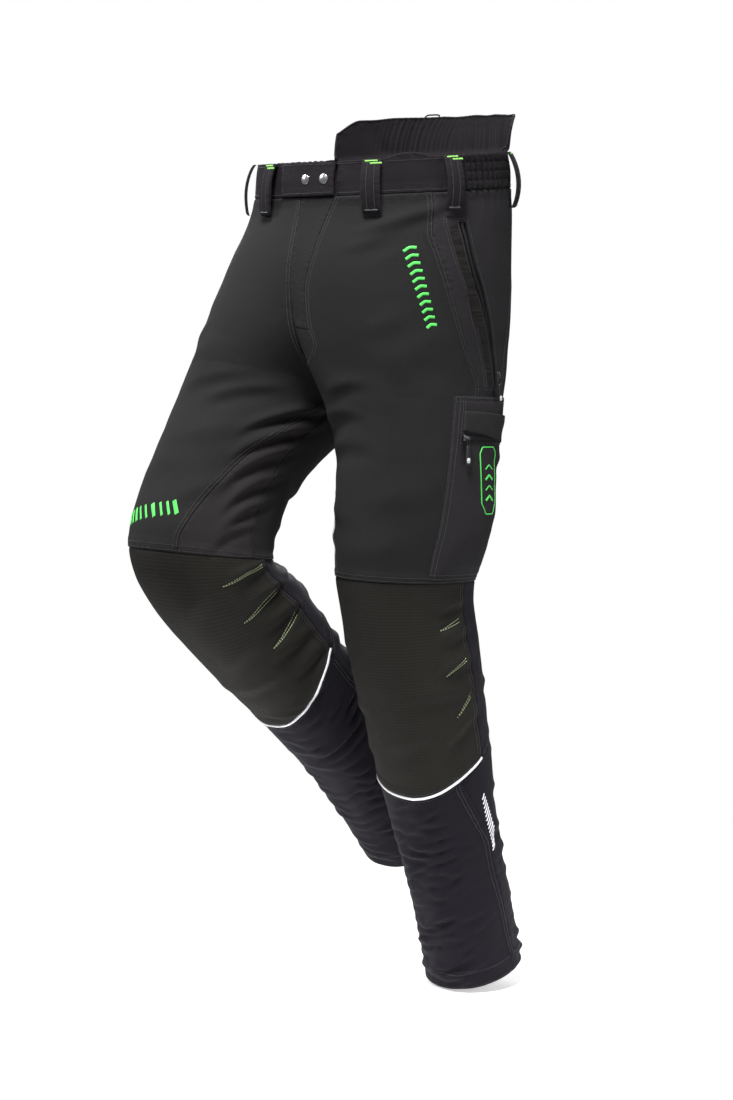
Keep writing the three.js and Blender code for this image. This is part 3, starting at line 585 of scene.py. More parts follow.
def tube_piece(name, route, radius, sides, flat=1.0, up=None):
    """A closed tube along a route of points. flat squashes it along up."""
    route = np.asarray(route, float)
    ahead = unit(np.gradient(route, axis=0))
    up = np.broadcast_to(np.array([0, 0, 1.0]) if up is None else up, route.shape)
    across = unit(np.cross(ahead, up))
    up = np.cross(across, ahead)
    radius = np.broadcast_to(radius, len(route)).astype(float)
    turn = circle(sides)
    ring = np.cos(turn)[:, None] * across[:, None] + flat * np.sin(turn)[:, None] * up[:, None]
    points = route[:, None] + radius[:, None, None] * ring
    length = run_along(route)
    uv = np.stack(np.broadcast_arrays(turn[None] * radius[:, None], length[:, None]), -1)
    return make_mesh(name, points, ring_faces(len(route), sides), uv)


def place(thing, group, material, replaces=()):
    """Gives a piece its material, parents it to its body's empty (or, for a leg or the fly, bakes its
    transform) and hides the CAD nodes it stands for.
    """
    thing.data.materials.append(material)
    if group in (LEFT, RIGHT):
        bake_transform(thing)
    elif group == "fly":
        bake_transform(thing)
    else:
        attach(thing, group)
    if replaces:
        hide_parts(*replaces)
    return thing


fly_joint = next(j for j in frame["joints"] if j["name"] == "fly_flap_open")
fly_axis = np.array(fly_joint["axis"])
fly_across = np.cross(fly_axis, [0, -1, 0])
fly_across = unit(fly_across * -np.sign(fly_across[0]))


# ---- Materials ----
def linear(r, g, b):
    channel = lambda v: v / 12.92 if v <= 0.04045 else ((v + 0.055) / 1.055) ** 2.4
    return tuple(channel(v / 255) for v in (r, g, b)) + (1.0,)


class Nodes:
    """Short names for building a node tree."""

    def __init__(self, name):
        self.material = bpy.data.materials.new(name)
        self.material.use_nodes = True
        self.tree = self.material.node_tree
        self.shader = self.tree.nodes["Principled BSDF"]

    def add(self, kind, **settings):
        node = self.tree.nodes.new(kind)
        for key, value in settings.items():
            if key in node.inputs:
                node.inputs[key].default_value = value
            else:
                setattr(node, key, value)
        return node

    def join(self, a, b):
        self.tree.links.new(a, b)

    def maths(self, operation, a, b=0.0, clamp=False):
        node = self.add("ShaderNodeMath", operation=operation, use_clamp=clamp)
        for socket, value in zip(node.inputs, (a, b)):
            if isinstance(value, (int, float)):
                socket.default_value = value
            else:
                self.join(value, socket)
        return node.outputs[0]

    def grain(self, vector, scale, detail=2.0, roughness=0.5):
        node = self.add("ShaderNodeTexNoise", Scale=scale, Detail=detail, Roughness=roughness)
        self.join(vector, node.inputs["Vector"])
        return node.outputs["Fac"]

    def tint(self, fac, low, high):
        """A grey factor, from low where fac is 0 to high where it is 1."""
        node = self.add("ShaderNodeMapRange", **{"To Min": low, "To Max": high})
        self.join(fac, node.inputs["Value"])
        return node.outputs["Result"]

    def coloured(self, colour, factors):
        """The base colour multiplied by each factor, joined to the shader."""
        value = factors[0]
        for other in factors[1:]:
            value = self.maths("MULTIPLY", value, other)
        scale = self.add("ShaderNodeVectorMath", operation="SCALE")
        scale.inputs[0].default_value = colour[:3]
        self.join(value, scale.inputs["Scale"])
        self.join(scale.outputs[0], self.shader.inputs["Base Color"])

    def bumped(self, height, distance, strength=1.0):
        node = self.add("ShaderNodeBump", Strength=strength, Distance=distance)
        self.join(height, node.inputs["Height"])
        self.join(node.outputs[0], self.shader.inputs["Normal"])

    def set(self, **values):
        for key, value in values.items():
            self.shader.inputs[key.replace("_", " ")].default_value = value


WEAR_REACH = 2.2  # how far from a seam the fabric is rubbed paler
PUCKER_REACH, PUCKER = 13.0, 2.2  # how far from a seam the cloth puckers, and how much
RIB_START = 0.80  # ribs of a grid take the rest of each square


def fabric(name, colour, weave="plain", pitch=0.9, depth=0.12, roughness=0.86, sheen=0.02, grid=0.0):
    """Woven cloth: threads at their real pitch, slubs and mottling, puckered and rubbed paler
    along its seams."""
    n = Nodes(name)
    uv = n.add("ShaderNodeUVMap", uv_map="cloth").outputs[0]
    split = n.add("ShaderNodeSeparateXYZ")
    n.join(uv, split.inputs[0])
    turns = 2 * math.pi / (pitch * MM)
    u, v = split.outputs[0], split.outputs[1]
    wave = lambda value: n.maths("SINE", n.maths("MULTIPLY", value, turns))
    if weave == "twill":
        threads = wave(n.maths("ADD", u, v))
    elif weave == "rib":
        threads = wave(u)
    else:
        threads = n.maths("MULTIPLY", wave(u), wave(v))
    slub = n.grain(uv, 1 / (3 * pitch * MM), 3.0, 0.6)
    height = n.maths("ADD", n.maths("MULTIPLY", threads, 0.5), slub)
    factors = [
        n.tint(n.grain(uv, 14.0, 3.0), 0.90, 1.10),
        n.tint(slub, 0.80, 1.20),
        n.tint(threads, 0.94, 1.06),
    ]
    if grid:
        half = grid * MM / 2
        rib = lambda value: n.maths("GREATER_THAN", n.maths("PINGPONG", value, half), half * RIB_START)
        ribs = n.maths("MAXIMUM", rib(u), rib(v))
        height = n.maths("ADD", height, n.maths("MULTIPLY", ribs, 1.1))
        factors.append(n.tint(ribs, 0.92, 1.36))
    edge = n.add("ShaderNodeAttribute", attribute_name="edge").outputs["Fac"]
    near = lambda reach: n.maths("SUBTRACT", 1.0, n.maths("DIVIDE", edge, reach), clamp=True)
    rubbed = n.maths("MULTIPLY", near(WEAR_REACH), n.grain(uv, 260.0, 2.0))
    puckers = n.maths("MULTIPLY", near(PUCKER_REACH), n.grain(uv, 140.0, 1.0))
    height = n.maths("ADD", height, n.maths("MULTIPLY", puckers, PUCKER / depth))
    factors.append(n.tint(rubbed, 1.0, 1.45))
    n.coloured(colour, factors)
    n.join(n.tint(slub, roughness - 0.07, roughness + 0.07), n.shader.inputs["Roughness"])
    n.bumped(height, depth * MM)
    n.set(Sheen_Weight=sheen, Sheen_Roughness=0.45, Specular_IOR_Level=0.1)
    n.set(Sheen_Tint=(0.8, 0.8, 0.85, 1))
    return n.material


def thread(name, colour):
    """Sewing thread, with the fine twist of its plies."""
    n = Nodes(name)
    place_on = n.add("ShaderNodeTexCoord").outputs["Object"]
    twist = n.grain(place_on, 1600.0, 1.0)
    n.coloured(colour, [n.tint(twist, 0.75, 1.25)])
    n.bumped(twist, 0.05 * MM)
    n.set(Roughness=0.55, Specular_IOR_Level=0.4, Sheen_Weight=0.2)
    return n.material


def metal(name, colour, roughness):
    """Plated metal with a fine brushed grain and dull rubbed spots."""
    n = Nodes(name)
    spot = n.add("ShaderNodeTexCoord").outputs["Object"]
    brushed = n.grain(spot, 2600.0, 2.0)
    dull = n.grain(spot, 420.0, 3.0)
    n.coloured(colour, [n.tint(dull, 0.86, 1.06)])
    n.join(n.tint(dull, roughness - 0.08, roughness + 0.14), n.shader.inputs["Roughness"])
    n.bumped(brushed, 0.01 * MM)
    n.set(Metallic=1.0)
    return n.material


def plastic(name, colour, roughness):
    """Moulded plastic with a fine spark-eroded grain."""
    n = Nodes(name)
    spot = n.add("ShaderNodeTexCoord").outputs["Object"]
    pits = n.grain(spot, 2200.0, 2.0)
    n.coloured(colour, [n.tint(n.grain(spot, 90.0, 2.0), 0.9, 1.12)])
    n.join(n.tint(pits, roughness - 0.08, roughness + 0.08), n.shader.inputs["Roughness"])
    n.bumped(pits, 0.03 * MM)
    n.set(Specular_IOR_Level=0.5)
    return n.material


SHELL = fabric("shell_fabric", linear(38, 38, 38), "twill", 1.1)
WAIST = fabric("waistband_fabric", linear(33, 30, 34), "twill", 1.0, roughness=0.8)
ELASTIC_CLOTH = fabric("elastic_fabric", linear(26, 24, 26), "rib", 1.3, 0.2)
SIDE = fabric("side_fabric", linear(44, 42, 44), "plain", 0.9)
STRETCH = fabric("stretch_fabric", linear(43, 40, 42), "rib", 1.0, 0.1)
RIPSTOP = fabric("ripstop_fabric", linear(39, 38, 35), "plain", 0.8, 0.10, 0.74, 0.02, grid=3.4)
SHIN = fabric("shin_fabric", linear(27, 24, 31), "plain", 0.8, 0.08, 0.74, 0.05)
CARGO = fabric("pocket_fabric", linear(44, 42, 44), "twill", 1.1)
REFLECTIVE = fabric("reflective_fabric", linear(236, 236, 240), "plain", 0.6, 0.05, 0.35, 0.0)
WELT_CLOTH = fabric("pocket_welt_fabric", linear(30, 29, 28), "plain", 0.8, 0.1)
PADDING = fabric("saw_protection_fibre", linear(190, 184, 168), "rib", 2.4, 0.5, 0.95, 0.3)
MESH_LINING = fabric("lining_mesh", linear(30, 30, 33), "plain", 1.6, 0.2, 0.6, 0.1)
TAPE = fabric("zip_tape", linear(22, 22, 24), "rib", 0.8, 0.1, 0.7, 0.1)
RUBBER = plastic("zip_cover_rubber", linear(12, 12, 13), 0.8)
DARK_THREAD = thread("dark_thread", linear(66, 64, 68))
GREEN_THREAD = thread("green_thread", linear(150, 225, 105))
PALE_THREAD = thread("pale_thread", linear(224, 240, 186))
PRINT = plastic("green_print", linear(88, 224, 96), 0.5)
NICKEL = metal("nickel", (0.74, 0.74, 0.76, 1), 0.26)
BLACK_METAL = metal("black_zip_metal", (0.16, 0.16, 0.17, 1), 0.34)
BLACK_PLASTIC = plastic("black_plastic", linear(26, 26, 28), 0.42)
WHITE_PLASTIC = plastic("white_plastic", linear(228, 228, 230), 0.45)


# ---- Panels ----
OVER, UNDER, PLAIN = "over", "under", "plain"
LAP, LAP_WIDTH = 0.8, 8.5  # a lapped seam: extra thickness of its turned edge, and how wide it is
BORDER = np.array([0, 0.5, 1.3, 2.8, 5.2])  # grid lines beside a border
FAR = 99  # beyond the reach of any seam


def seams(left=PLAIN, right=PLAIN, top=PLAIN, foot=PLAIN):
    """How each border of a panel is sewn."""
    return dict(left=left, right=right, top=top, foot=foot)


def seam_profile(distance, kind):
    """How the cloth rises and turns in beside a border: (raised, dipped)."""
    near = lambda reach: (1 - np.clip(distance / reach, 0, 1)) ** 2
    if kind == OVER:
        return LAP * smooth(LAP_WIDTH + 2.5, LAP_WIDTH, distance), -1.0 * near(1.3)
    if kind == UNDER:
        return 0 * distance, -1.3 * near(3.0)
    return 0 * distance, -0.9 * near(1.6)


def spaced(widths, step):
    """Distances across each row: close together at both borders and even between them."""
    widths = np.asarray(widths, float)[:, None]
    count = max(2, int(np.ceil((widths.max() - 2 * BORDER[-1]) / step)))
    scale = np.minimum(1, widths / (2 * BORDER[-1] + step))
    start = BORDER * scale
    even = np.linspace(0, 1, count + 1)[1:-1]
    between = start[:, -1:] + (widths - 2 * start[:, -1:]) * even
    return np.hstack([start, between, widths - start[:, ::-1]])


FINE_STEPS = 60  # used to measure distances across a panel


def panel_grid(side, edges, top, foot, step, levels=()):
    """The grid of a panel between theta lines, as arrays of theta, s and distances in mm."""
    half_way = np.array([0.5 * (top(0) + foot(0))])
    middle_theta = 0.5 * (edges[0](half_way) + edges[-1](half_way))
    length = float(np.ravel(foot(middle_theta) - top(middle_theta))[0])
    down = spaced([length], step)[0] / length
    flat = mix(top(0), foot(0), down)
    for level in levels:
        nearest = int(np.argmin(np.abs(flat - level)))
        down[nearest] = (level - top(0)) / (foot(0) - top(0))
    flat = mix(top(0), foot(0), down)
    lines = [np.broadcast_to(edge(flat), flat.shape) for edge in edges]
    share = np.linspace(0, 1, FINE_STEPS + 1)
    gap = SEAM_GAP / 2 if len(lines) == 2 else 0
    thetas, places, marks = [], [], [np.zeros(len(down))]
    for k, (a, b) in enumerate(zip(lines, lines[1:])):
        fine = a[:, None] + (b - a)[:, None] * share
        p = surface(side, fine, mix(top(fine), foot(fine), down[:, None]))
        run = np.cumsum(np.linalg.norm(np.diff(p, axis=1), axis=-1), 1)
        run = np.hstack([np.zeros((len(down), 1)), run])
        at = spaced(run[:, -1] - 2 * gap, step) + gap
        row_theta = np.stack([np.interp(w, r, f) for w, r, f in zip(at, run, fine)])
        if k:
            at, row_theta = at[:, 1:], row_theta[:, 1:]
        thetas.append(row_theta)
        places.append(marks[-1][:, None] + at)
        marks.append(marks[-1] + run[:, -1])
    theta, across = np.hstack(thetas), np.hstack(places)
    s = mix(top(theta), foot(theta), down[:, None]) + 0 * theta
    tall = foot(theta) - top(theta)
    marks = [m[:, None] for m in marks]
    return dict(
        theta=theta, s=s, across=across, marks=marks, left=across, right=marks[-1] - across,
        top=down[:, None] * tall + 0 * theta, foot=(1 - down)[:, None] * tall + 0 * theta,
    )


def panel(name, side, edges, top, foot, material, borders, group=None, slot=None, replaces=(),
          thick=CLOTH, step=4.0, levels=(), extra=None, kept=None, base=0.0):
    """A piece of cloth on the leg, with its seams turned in or lapped as borders says.

    extra(g) is added to its height over the grid, and kept(s, g) says which cells are not cut out.
    """
    g = panel_grid(side, edges, top, foot, step, levels)
    profiles = [seam_profile(g[edge], kind) for edge, kind in borders.items()]
    out = base + np.max([p[0] for p in profiles], 0) + np.min([p[1] for p in profiles], 0)
    if extra:
        out = out + extra(g)
    outer = skin(side, g["theta"], g["s"], out)
    inner = skin(side, g["theta"], g["s"], np.minimum(out, base) - thick)
    uv = np.stack([g["across"] - g["marks"][-1] / 2, g["s"]], -1)
    edge = np.min([g[key] for key in ("left", "right", "top", "foot")], 0)
    s = g["s"]
    cells = kept(0.25 * (s[:-1, :-1] + s[:-1, 1:] + s[1:, :-1] + s[1:, 1:]), g) if kept else None
    thing = sheet_piece(name, outer, inner, uv, edge, cells)
    return place(thing, side if group is None else group, material, replaces)


# ---- Lines of the cut: theta at each s, and for the piping s at each theta ----
def line(points):
    return lambda s: along(points, s)


def front_edge(side):
    """The middle of the front, and the gusset's seam below the crotch."""
    return lambda s: np.where(s <= CROTCH, middle(side, s), along(GUSSET_SEAM, s))


def back_edge(side):
    return lambda s: np.where(s <= CROTCH, middle(side, s, False), INSEAM)


def fly_line(s):
    """The fly's seam, which only guides the grid below the fly's end."""
    below = mix(front_edge(LEFT)(s), along(SIDE_SEAM, s), 0.163)
    return np.where(s <= FLY_END, along(FLY_SEAM, s), below)


def welt_middle(s):
    return (along(WELT_FRONT, s) + along(WELT_BACK, s)) / 2


def slit_edge(way):
    """The front (-1) or back (1) edge of the hand pocket's opening."""
    return lambda s: welt_middle(s) + way * SLIT


def piping_line(side):
    return lambda theta: PIPING_FOOT[side] - PIPING_RISE * (1 - np.cos(np.radians(theta - PIPING_CENTRE)))


def cord_room(theta):
    """Half the gap left for the piping, closing behind the knee where there is none."""
    aside = np.abs(wrapped(theta - (KNEE_INNER + KNEE_OUTER) / 2))
    return PIPING_WIDTH / 2 * smooth(3, 0, aside - (KNEE_OUTER - KNEE_INNER) / 2)


# ---- Legs ----
def cell_column(g, mark):
    """True for the cells that lie before a marked line."""
    middles = 0.5 * (g["across"][:-1, 1:] + g["across"][:-1, :-1])
    return middles < g["marks"][mark][:-1]


SLIT = 1.9  # half the width of the pocket slit, in degrees
GUSSET_TOP = 312
WELT_RAISE = 0.9
WELT_DEPTH = 18  # the raised welt ahead of the slit
WELT_AHEAD, WELT_WIDTH = 9.8, 13.0  # the dark strip: its middle ahead of the slit, and its width


def make_thigh(side):
    """The front, side and seat panels and the gusset of one leg."""
    word = WORDS[side]
    top, foot = constant(BAND_HEIGHT), constant(THIGH_END)
    front_lines = [front_edge(side), line(SIDE_SEAM)]
    fly_cut = {}
    if side == LEFT:
        front_lines.insert(1, fly_line)
        from_fly = lambda g: np.where(g["s"] <= FLY_END, np.abs(g["across"] - g["marks"][1]), FAR)
        fly_cut = dict(
            levels=[FLY_END], extra=lambda g: seam_profile(from_fly(g), PLAIN)[1],
            kept=lambda s, g: ~((s < FLY_END) & cell_column(g, 1)))
    panel(f"front_cloth_{word}", side, front_lines, top, foot, SHELL, seams(PLAIN, OVER, UNDER, OVER),
          slot="shell", replaces=[f"front_{word}"], **fly_cut)

    def welt(g):
        """The welt stands up ahead of the slit, and the slit's two lips turn in."""
        inside = smooth(WELT_TOP - 8, WELT_TOP - 5, g["s"]) * smooth(WELT_END + 8, WELT_END + 5, g["s"])
        before = g["marks"][1] - g["across"]
        after = g["across"] - g["marks"][2]
        strip = smooth(WELT_DEPTH + 1, WELT_DEPTH - 1, before) * smooth(-0.5, 1.0, before)
        turned = np.where(before >= 0, before, np.where(after >= 0, after, 0))
        lips = -0.7 * (1 - np.clip(turned / 1.6, 0, 1)) ** 2
        return inside * (WELT_RAISE * strip + lips)

    open_slit = lambda s, g: ~(
        (s > WELT_TOP) & (s < WELT_END) & cell_column(g, 2) & ~cell_column(g, 1))
    panel(f"side_cloth_{word}", side, [line(SIDE_SEAM), slit_edge(-1), slit_edge(1), line(BACK_SEAM)],
          top, foot, SIDE, seams(UNDER, OVER, UNDER, OVER), slot="side",
          replaces=[f"side_panel_{word}"], levels=[WELT_TOP, WELT_END], extra=welt, kept=open_slit)
    panel(f"seat_cloth_{word}", side, [line(BACK_SEAM), back_edge(side)], top, foot, SHELL,
          seams(UNDER, PLAIN, UNDER, OVER), slot="shell", replaces=[f"seat_{word}"])
    panel(f"gusset_cloth_{word}", side, [constant(INSEAM - 360), line(GUSSET_SEAM)],
          constant(GUSSET_TOP), foot, STRETCH, seams(PLAIN, UNDER, PLAIN, OVER), slot="gusset",
          replaces=[f"inner_gusset_{word}"], step=3.0)


# (theta, s) of each dart's point, and of its open end at the side of the patch
DARTS = {
    LEFT: [((76, 598), (100, 586)), ((74, 652), (100, 634)), ((79, 704), (100, 676))],
    RIGHT: [((-62, 574), (-106, 548)), ((-60, 614), (-106, 600)), ((-66, 654), (-106, 646))],
}
DART_OPENING = 5.4


def pucker(off):
    """The height of the patch beside a dart."""
    return 0.8 * np.exp(-((np.abs(off) - 7) / 4) ** 2) - 1.3 * np.exp(-(off / 2.6) ** 2)


def dart_dent(side):
    """Puckers the knee patch along its darts."""
    def dent(g):
        total = 0 * g["s"]
        for (t0, s0), (t1, s1) in DARTS[side]:
            turn = (g["theta"] - t0) * MM_PER_DEGREE
            run = (t1 - t0) * MM_PER_DEGREE
            share = np.clip(turn / run, -0.2, 1.2)
            off = g["s"] - mix(s0, s1, np.abs(share) ** 1.4 * np.sign(share))
            total += smooth(-0.15, 0.1, share) * pucker(off)
        return total
    return dent


def make_lower_leg(side):
    """The knee patch, the cloth behind the knee, the shin front and the calf."""
    word = WORDS[side]
    shin_body = f"{word}_shin"
    piping = piping_line(side)
    above = lambda theta: piping(theta) - cord_room(theta)
    below = lambda theta: piping(theta) + cord_room(theta)
    top, hem = constant(THIGH_END), constant(HEM)
    panel(f"knee_patch_{word}", side, [constant(KNEE_INNER), constant(KNEE_OUTER)], top, above,
          RIPSTOP, seams(OVER, OVER, UNDER, OVER), slot="knee", replaces=[f"knee_front_{word}"],
          thick=1.9, extra=dart_dent(side), step=3.0)
    panel(f"knee_back_cloth_{word}", side, [constant(KNEE_OUTER), constant(KNEE_INNER + 360)], top,
          above, SHIN, seams(UNDER, UNDER, UNDER, OVER), slot="shin", replaces=[f"knee_back_{word}"])
    seam = line(CALF_SEAM)
    rough = lambda g: 0.35 * smooth(25, 22, g["foot"]) * noise(g["across"] / 9, 0.5, 77)
    folded = lambda g: 0.9 * smooth(26, 24, g["foot"]) + rough(g)
    panel(f"shin_cloth_{word}", side, [constant(CALF_INNER), seam], below, hem, SHIN,
          seams(OVER, OVER, UNDER, PLAIN), group=shin_body, slot="shin",
          replaces=[f"shin_front_{word}"], extra=folded, step=2.5)
    panel(f"calf_cloth_{word}", side, [seam, constant(CALF_INNER + 360)], below, hem, SHIN,
          seams(UNDER, UNDER, UNDER, PLAIN), group=shin_body, slot="shin",
          replaces=[f"calf_{word}"], extra=folded, step=3.0)


LINING_TOP, PAD_TOP, PAD_END = 350, 150, 990
BAG_EDGES, BAG_TOP, BAG_FOOT = (40, 122), 70, 305  # the hand pocket's bag


def ring_sheet(name, side, top, foot, out, thick, step=7.0):
    """A closed band of cloth all round the leg."""
    theta = np.arange(0, 360, 3.0)[None]
    s = np.arange(top, foot + step / 2, step)[:, None]
    theta, s = theta + 0 * s, s + 0 * theta
    outer, inner = (skin(side, theta, s, out(theta, s) - depth) for depth in (0, thick))
    uv = np.stack([theta * MM_PER_DEGREE, s], -1)
    edge = np.minimum(s - top, foot - s)
    return sheet_piece(name, outer, inner, uv, edge, ring=True)


def make_inside(side):
    """The turned-up hem, the lining, the saw-protection pad and the hand pocket's bag."""
    word = WORDS[side]
    turned = ring_sheet(f"hem_fold_{word}", side, HEM - 24, HEM - 1, lambda theta, s: -3.4 + 0 * s, 1.2, 4.0)
    place(turned, f"{word}_shin", SHIN, [f"hem_cuff_{word}"])
    quilt = lambda theta, s: -LINING_OUT + 0.7 * np.sin(s / 5.5) * np.sin(np.radians(theta) * 24)
    lining = ring_sheet(f"lining_{word}", side, LINING_TOP, PAD_END, quilt, 1.1)
    place(lining, side, MESH_LINING, [f"leg_lining_{word}"])
    inside_leg = lambda s: mix(-84, -72, smooth(300, 500, s))
    inner_line = lambda s: 38 * hump(s, 330, 130) + np.maximum(middle(side, s) + 20, inside_leg(s))
    outer_line = lambda s: mix(48, 78, smooth(150, 500, s))
    channels = lambda g: -0.9 * np.abs(np.cos(np.pi * g["across"] / 30)) ** 14
    panel(f"pad_{word}", side, [inner_line, outer_line], constant(PAD_TOP), constant(PAD_END), PADDING,
          seams(), slot="pad", replaces=[f"saw_pad_{word}"], thick=PAD_IN - PAD_OUT, step=9.0,
          base=-PAD_OUT, extra=channels)
    panel(f"pocket_bag_{word}", side, [constant(edge) for edge in BAG_EDGES], constant(BAG_TOP),
          constant(BAG_FOOT), MESH_LINING, seams(), slot="lining", group="trousers",
          replaces=[f"hand_pocket_bag_{word}"], thick=1.2, step=9.0, base=-6.6)


# ---- Waist ----
BAND_ENDS = (16, 17.4)  # where the right and the left front of the band stop, under the tab
FACING_TOP, FACING_FOOT = 12, 56
TAB = (-11, 16.6)
TAB_LIFT = 2.0
KIDNEY = (118, 242)
KIDNEY_RISE, KIDNEY_FLARE, KIDNEY_THICK = 45, 8, 2.4
KIDNEY_TUCK = 5  # how far its foot goes down behind the band


def waist_piece(name, span, top, foot, out, thick, material, replaces, step=3.4,
                group="trousers"):
    """A closed strip of cloth round the waist. out(phi, u, v) is its height off the surface."""
    radius = math.radians(1) * WAIST_RADIUS
    across = spaced([(span[1] - span[0]) * radius - SEAM_GAP], step)[0] + SEAM_GAP / 2
    phi = (span[0] + across / radius)[None]
    tall = np.ravel(foot(phi) - top(phi))
    down = spaced([tall.max()], step)[0] / tall.max()
    v = down[:, None] + 0 * phi
    phi = phi + 0 * v
    s = mix(top(phi), foot(phi), v)
    u = (phi - span[0]) * radius
    width = (span[1] - span[0]) * radius
    edge = np.min([u, width - u, v * tall, (1 - v) * tall], 0)
    lift = out(phi, u, v) + seam_profile(edge, PLAIN)[1]
    outer = waist_skin(phi, s, lift)
    inner = waist_skin(phi, s, lift - thick)
    uv = np.stack([u - width / 2, s], -1)
    thing = sheet_piece(name, outer, inner, uv, edge)
    return place(thing, group, material, replaces)


def band_height(phi, u, v):
    """A pressed waistband: dips along its stitch rows and a soft swell between them."""
    s = v * BAND_HEIGHT
    rows = sum(np.exp(-((s - row) / 1.3) ** 2) for row in BAND_ROWS)
    return 0.5 * noise(phi / 9, s / 22, 41) + 0.6 * hump(s, 22, 20) - 0.55 * rows


BAND_ROWS = (3.5, BAND_HEIGHT - 4)
HUMP = (39, 61)  # where an inner layer stands up behind the belt


def waist_edge(phi):
    """The band's upper edge: a rounded rise between two of the belt loops."""
    middle_phi, half = sum(HUMP) / 2, (HUMP[1] - HUMP[0]) / 2
    return -6.5 * hump(wrapped(phi), middle_phi, half) ** 0.5 + 0.5 * noise(phi / 7, 3.5, 42)


ELASTIC_DEPTH, ELASTIC_ROWS = 4.8, 4


def elastic_height(phi, u, v):
    """Gathered elastic: upright ridges pinched by rows of stitching."""
    phi = np.abs(phi)
    pinch = 1 - 0.3 * np.exp(-(((v * ELASTIC_ROWS + 0.5) % 1 - 0.5) / 0.12) ** 2)
    wave = gathers(phi, GATHER_PERIOD, GATHER_SEED)
    return ELASTIC_DEPTH * (wave * pinch - 0.35) + 0.4 * noise(phi / 1.6, v * 7, 43)


def kidney_rise(phi):
    """How far the kidney panel stands above the band, with its two corners cut off."""
    from_end = np.minimum(phi - KIDNEY[0], KIDNEY[1] - phi)
    corner = mix(0.70, 1, smooth(0, 10, from_end) ** 0.7)
    return KIDNEY_RISE * corner + 0.9 * noise(phi / 8, 1.5, 44)


def kidney_gather(phi):
    """1 over the gathered middle of the kidney panel, 0 towards its ends."""
    return smooth(126, 138, phi) * smooth(228, 212, phi)


def kidney_height(phi, u, v):
    """The kidney panel flares at its top, gathers in the middle and folds towards its ends."""
    fine = kidney_gather(phi) * (gathers(phi, 2.6, 9) - 0.5) * mix(2.4, 3.2, v)
    broad = (1 - kidney_gather(phi)) * 2.2 * noise(phi / 5.5 + 1.2 * v, 2.5, 45)
    right_fold = 2.4 * np.exp(-(((phi - 222) / 5 + 3.2 * (v - 0.4)) / 0.8) ** 2)
    left_fold = 2.4 * np.exp(-(((phi - 134) / 5 - 3.0 * (v - 0.5)) / 0.8) ** 2)
    tucked = -4.6 * smooth(0.84, 0.93, v)
    loose = smooth(1.0, 0.7, v) * (0.55 + 0.45 * v)
    return tucked + mix(KIDNEY_FLARE, 0.2, v) + (fine + broad + right_fold + left_fold) * loose + fine * 0.3


def make_waist():
    """The band, its elastic sides, its facing, the front tab and the kidney panel."""
    foot = constant(BAND_HEIGHT - SEAM_GAP)
    spans = dict(
        right=(-ELASTIC[0], BAND_ENDS[0]), left=(BAND_ENDS[1], ELASTIC[0]),
        back=(ELASTIC[1], 360 - ELASTIC[1]))
    for word, span in spans.items():
        waist_piece(f"band_{word}", span, waist_edge, foot, band_height, BAND, WAIST,
                    [f"waistband_{word}"])
    scalloped = lambda phi: 1.5 - 2.5 * gathers(phi, GATHER_PERIOD, GATHER_SEED)
    for word, span in (("left", ELASTIC), ("right", (-ELASTIC[1], -ELASTIC[0]))):
        waist_piece(f"elastic_{word}", span, scalloped, foot, elastic_height, 3.5, ELASTIC_CLOTH,
                    [f"waist_elastic_{word}"], step=1.5)
    inside = lambda phi, u, v: -4.6 + 0.3 * noise(phi / 6, v * 3, 46)
    for word, span in (("left", (18, 180)), ("right", (-179.8, -1))):
        waist_piece(f"band_facing_{word}", span, constant(FACING_TOP), constant(FACING_FOOT), inside,
                    0.9, MESH_LINING, (), step=5.0)
    tab_height = lambda phi, u, v: TAB_LIFT + 1.6 + band_height(phi, u, v)
    waist_piece("front_tab", TAB, constant(0.8), constant(BAND_HEIGHT - 1), tab_height, 1.9,
                WAIST, ["waist_tab"], step=2.6, group="fly")
    waist_piece("kidney_cloth", KIDNEY, lambda phi: -kidney_rise(phi), constant(KIDNEY_TUCK),
                kidney_height, KIDNEY_THICK, ELASTIC_CLOTH, ["kidney_panel"], step=1.8)


def make_binding():
    """The tape round the free edges of the kidney panel: up one end, along its top and down."""
    phi = np.linspace(KIDNEY[0] + 0.4, KIDNEY[1] - 0.4, 220)
    half = KIDNEY_THICK / 2
    route = [waist_skin(phi, -kidney_rise(phi), kidney_height(phi, 0, 0 * phi) - half)[1:-1]]
    for end in (phi[0], phi[-1]):
        up = np.linspace(-1, -float(kidney_rise(end)), 14)
        out = kidney_height(np.full(14, end), 0, np.linspace(1, 0, 14)) - half
        points = waist_skin(end, up, out)
        route = [points] + route if end == phi[0] else route + [points[::-1]]
    place(tube_piece("kidney_binding", np.vstack(route), 1.7, 8), "trousers", WAIST)


HANGER = dict(at=198, half=9.0, rise=8.0, radius=1.0)


def make_hanger():
    """A thin cord loop sewn to the kidney panel's upper edge."""
    turn = np.linspace(0, np.pi, 24)
    phi = HANGER["at"] + HANGER["half"] / 2.4 * -np.sign(np.cos(turn)) * np.abs(np.cos(turn)) ** 0.5
    up = -kidney_rise(phi) - HANGER["rise"] * np.sin(turn) ** 0.45 + 4
    route = waist_skin(phi, up, kidney_height(phi, 0, 0 * phi) - 0.4)
    place(tube_piece("hanger_cord", route, HANGER["radius"], 8), "trousers", ELASTIC_CLOTH,
          ["hanger_loop"])


LOOPS = {
    "front_right": -19, "side_right": -51, "front_left": 34, "side_left": 71, "hip_left": 117,
    "back": 180, "hip_right": 240,
}
LOOP_WIDTH, LOOP_TOP, LOOP_LENGTH, LOOP_BOW, LOOP_THICK = 22, 0.6, 68, 9, 2.0
LOOP_ROWS = (0.3, 0.7)  # its two rows of stitches, across its width


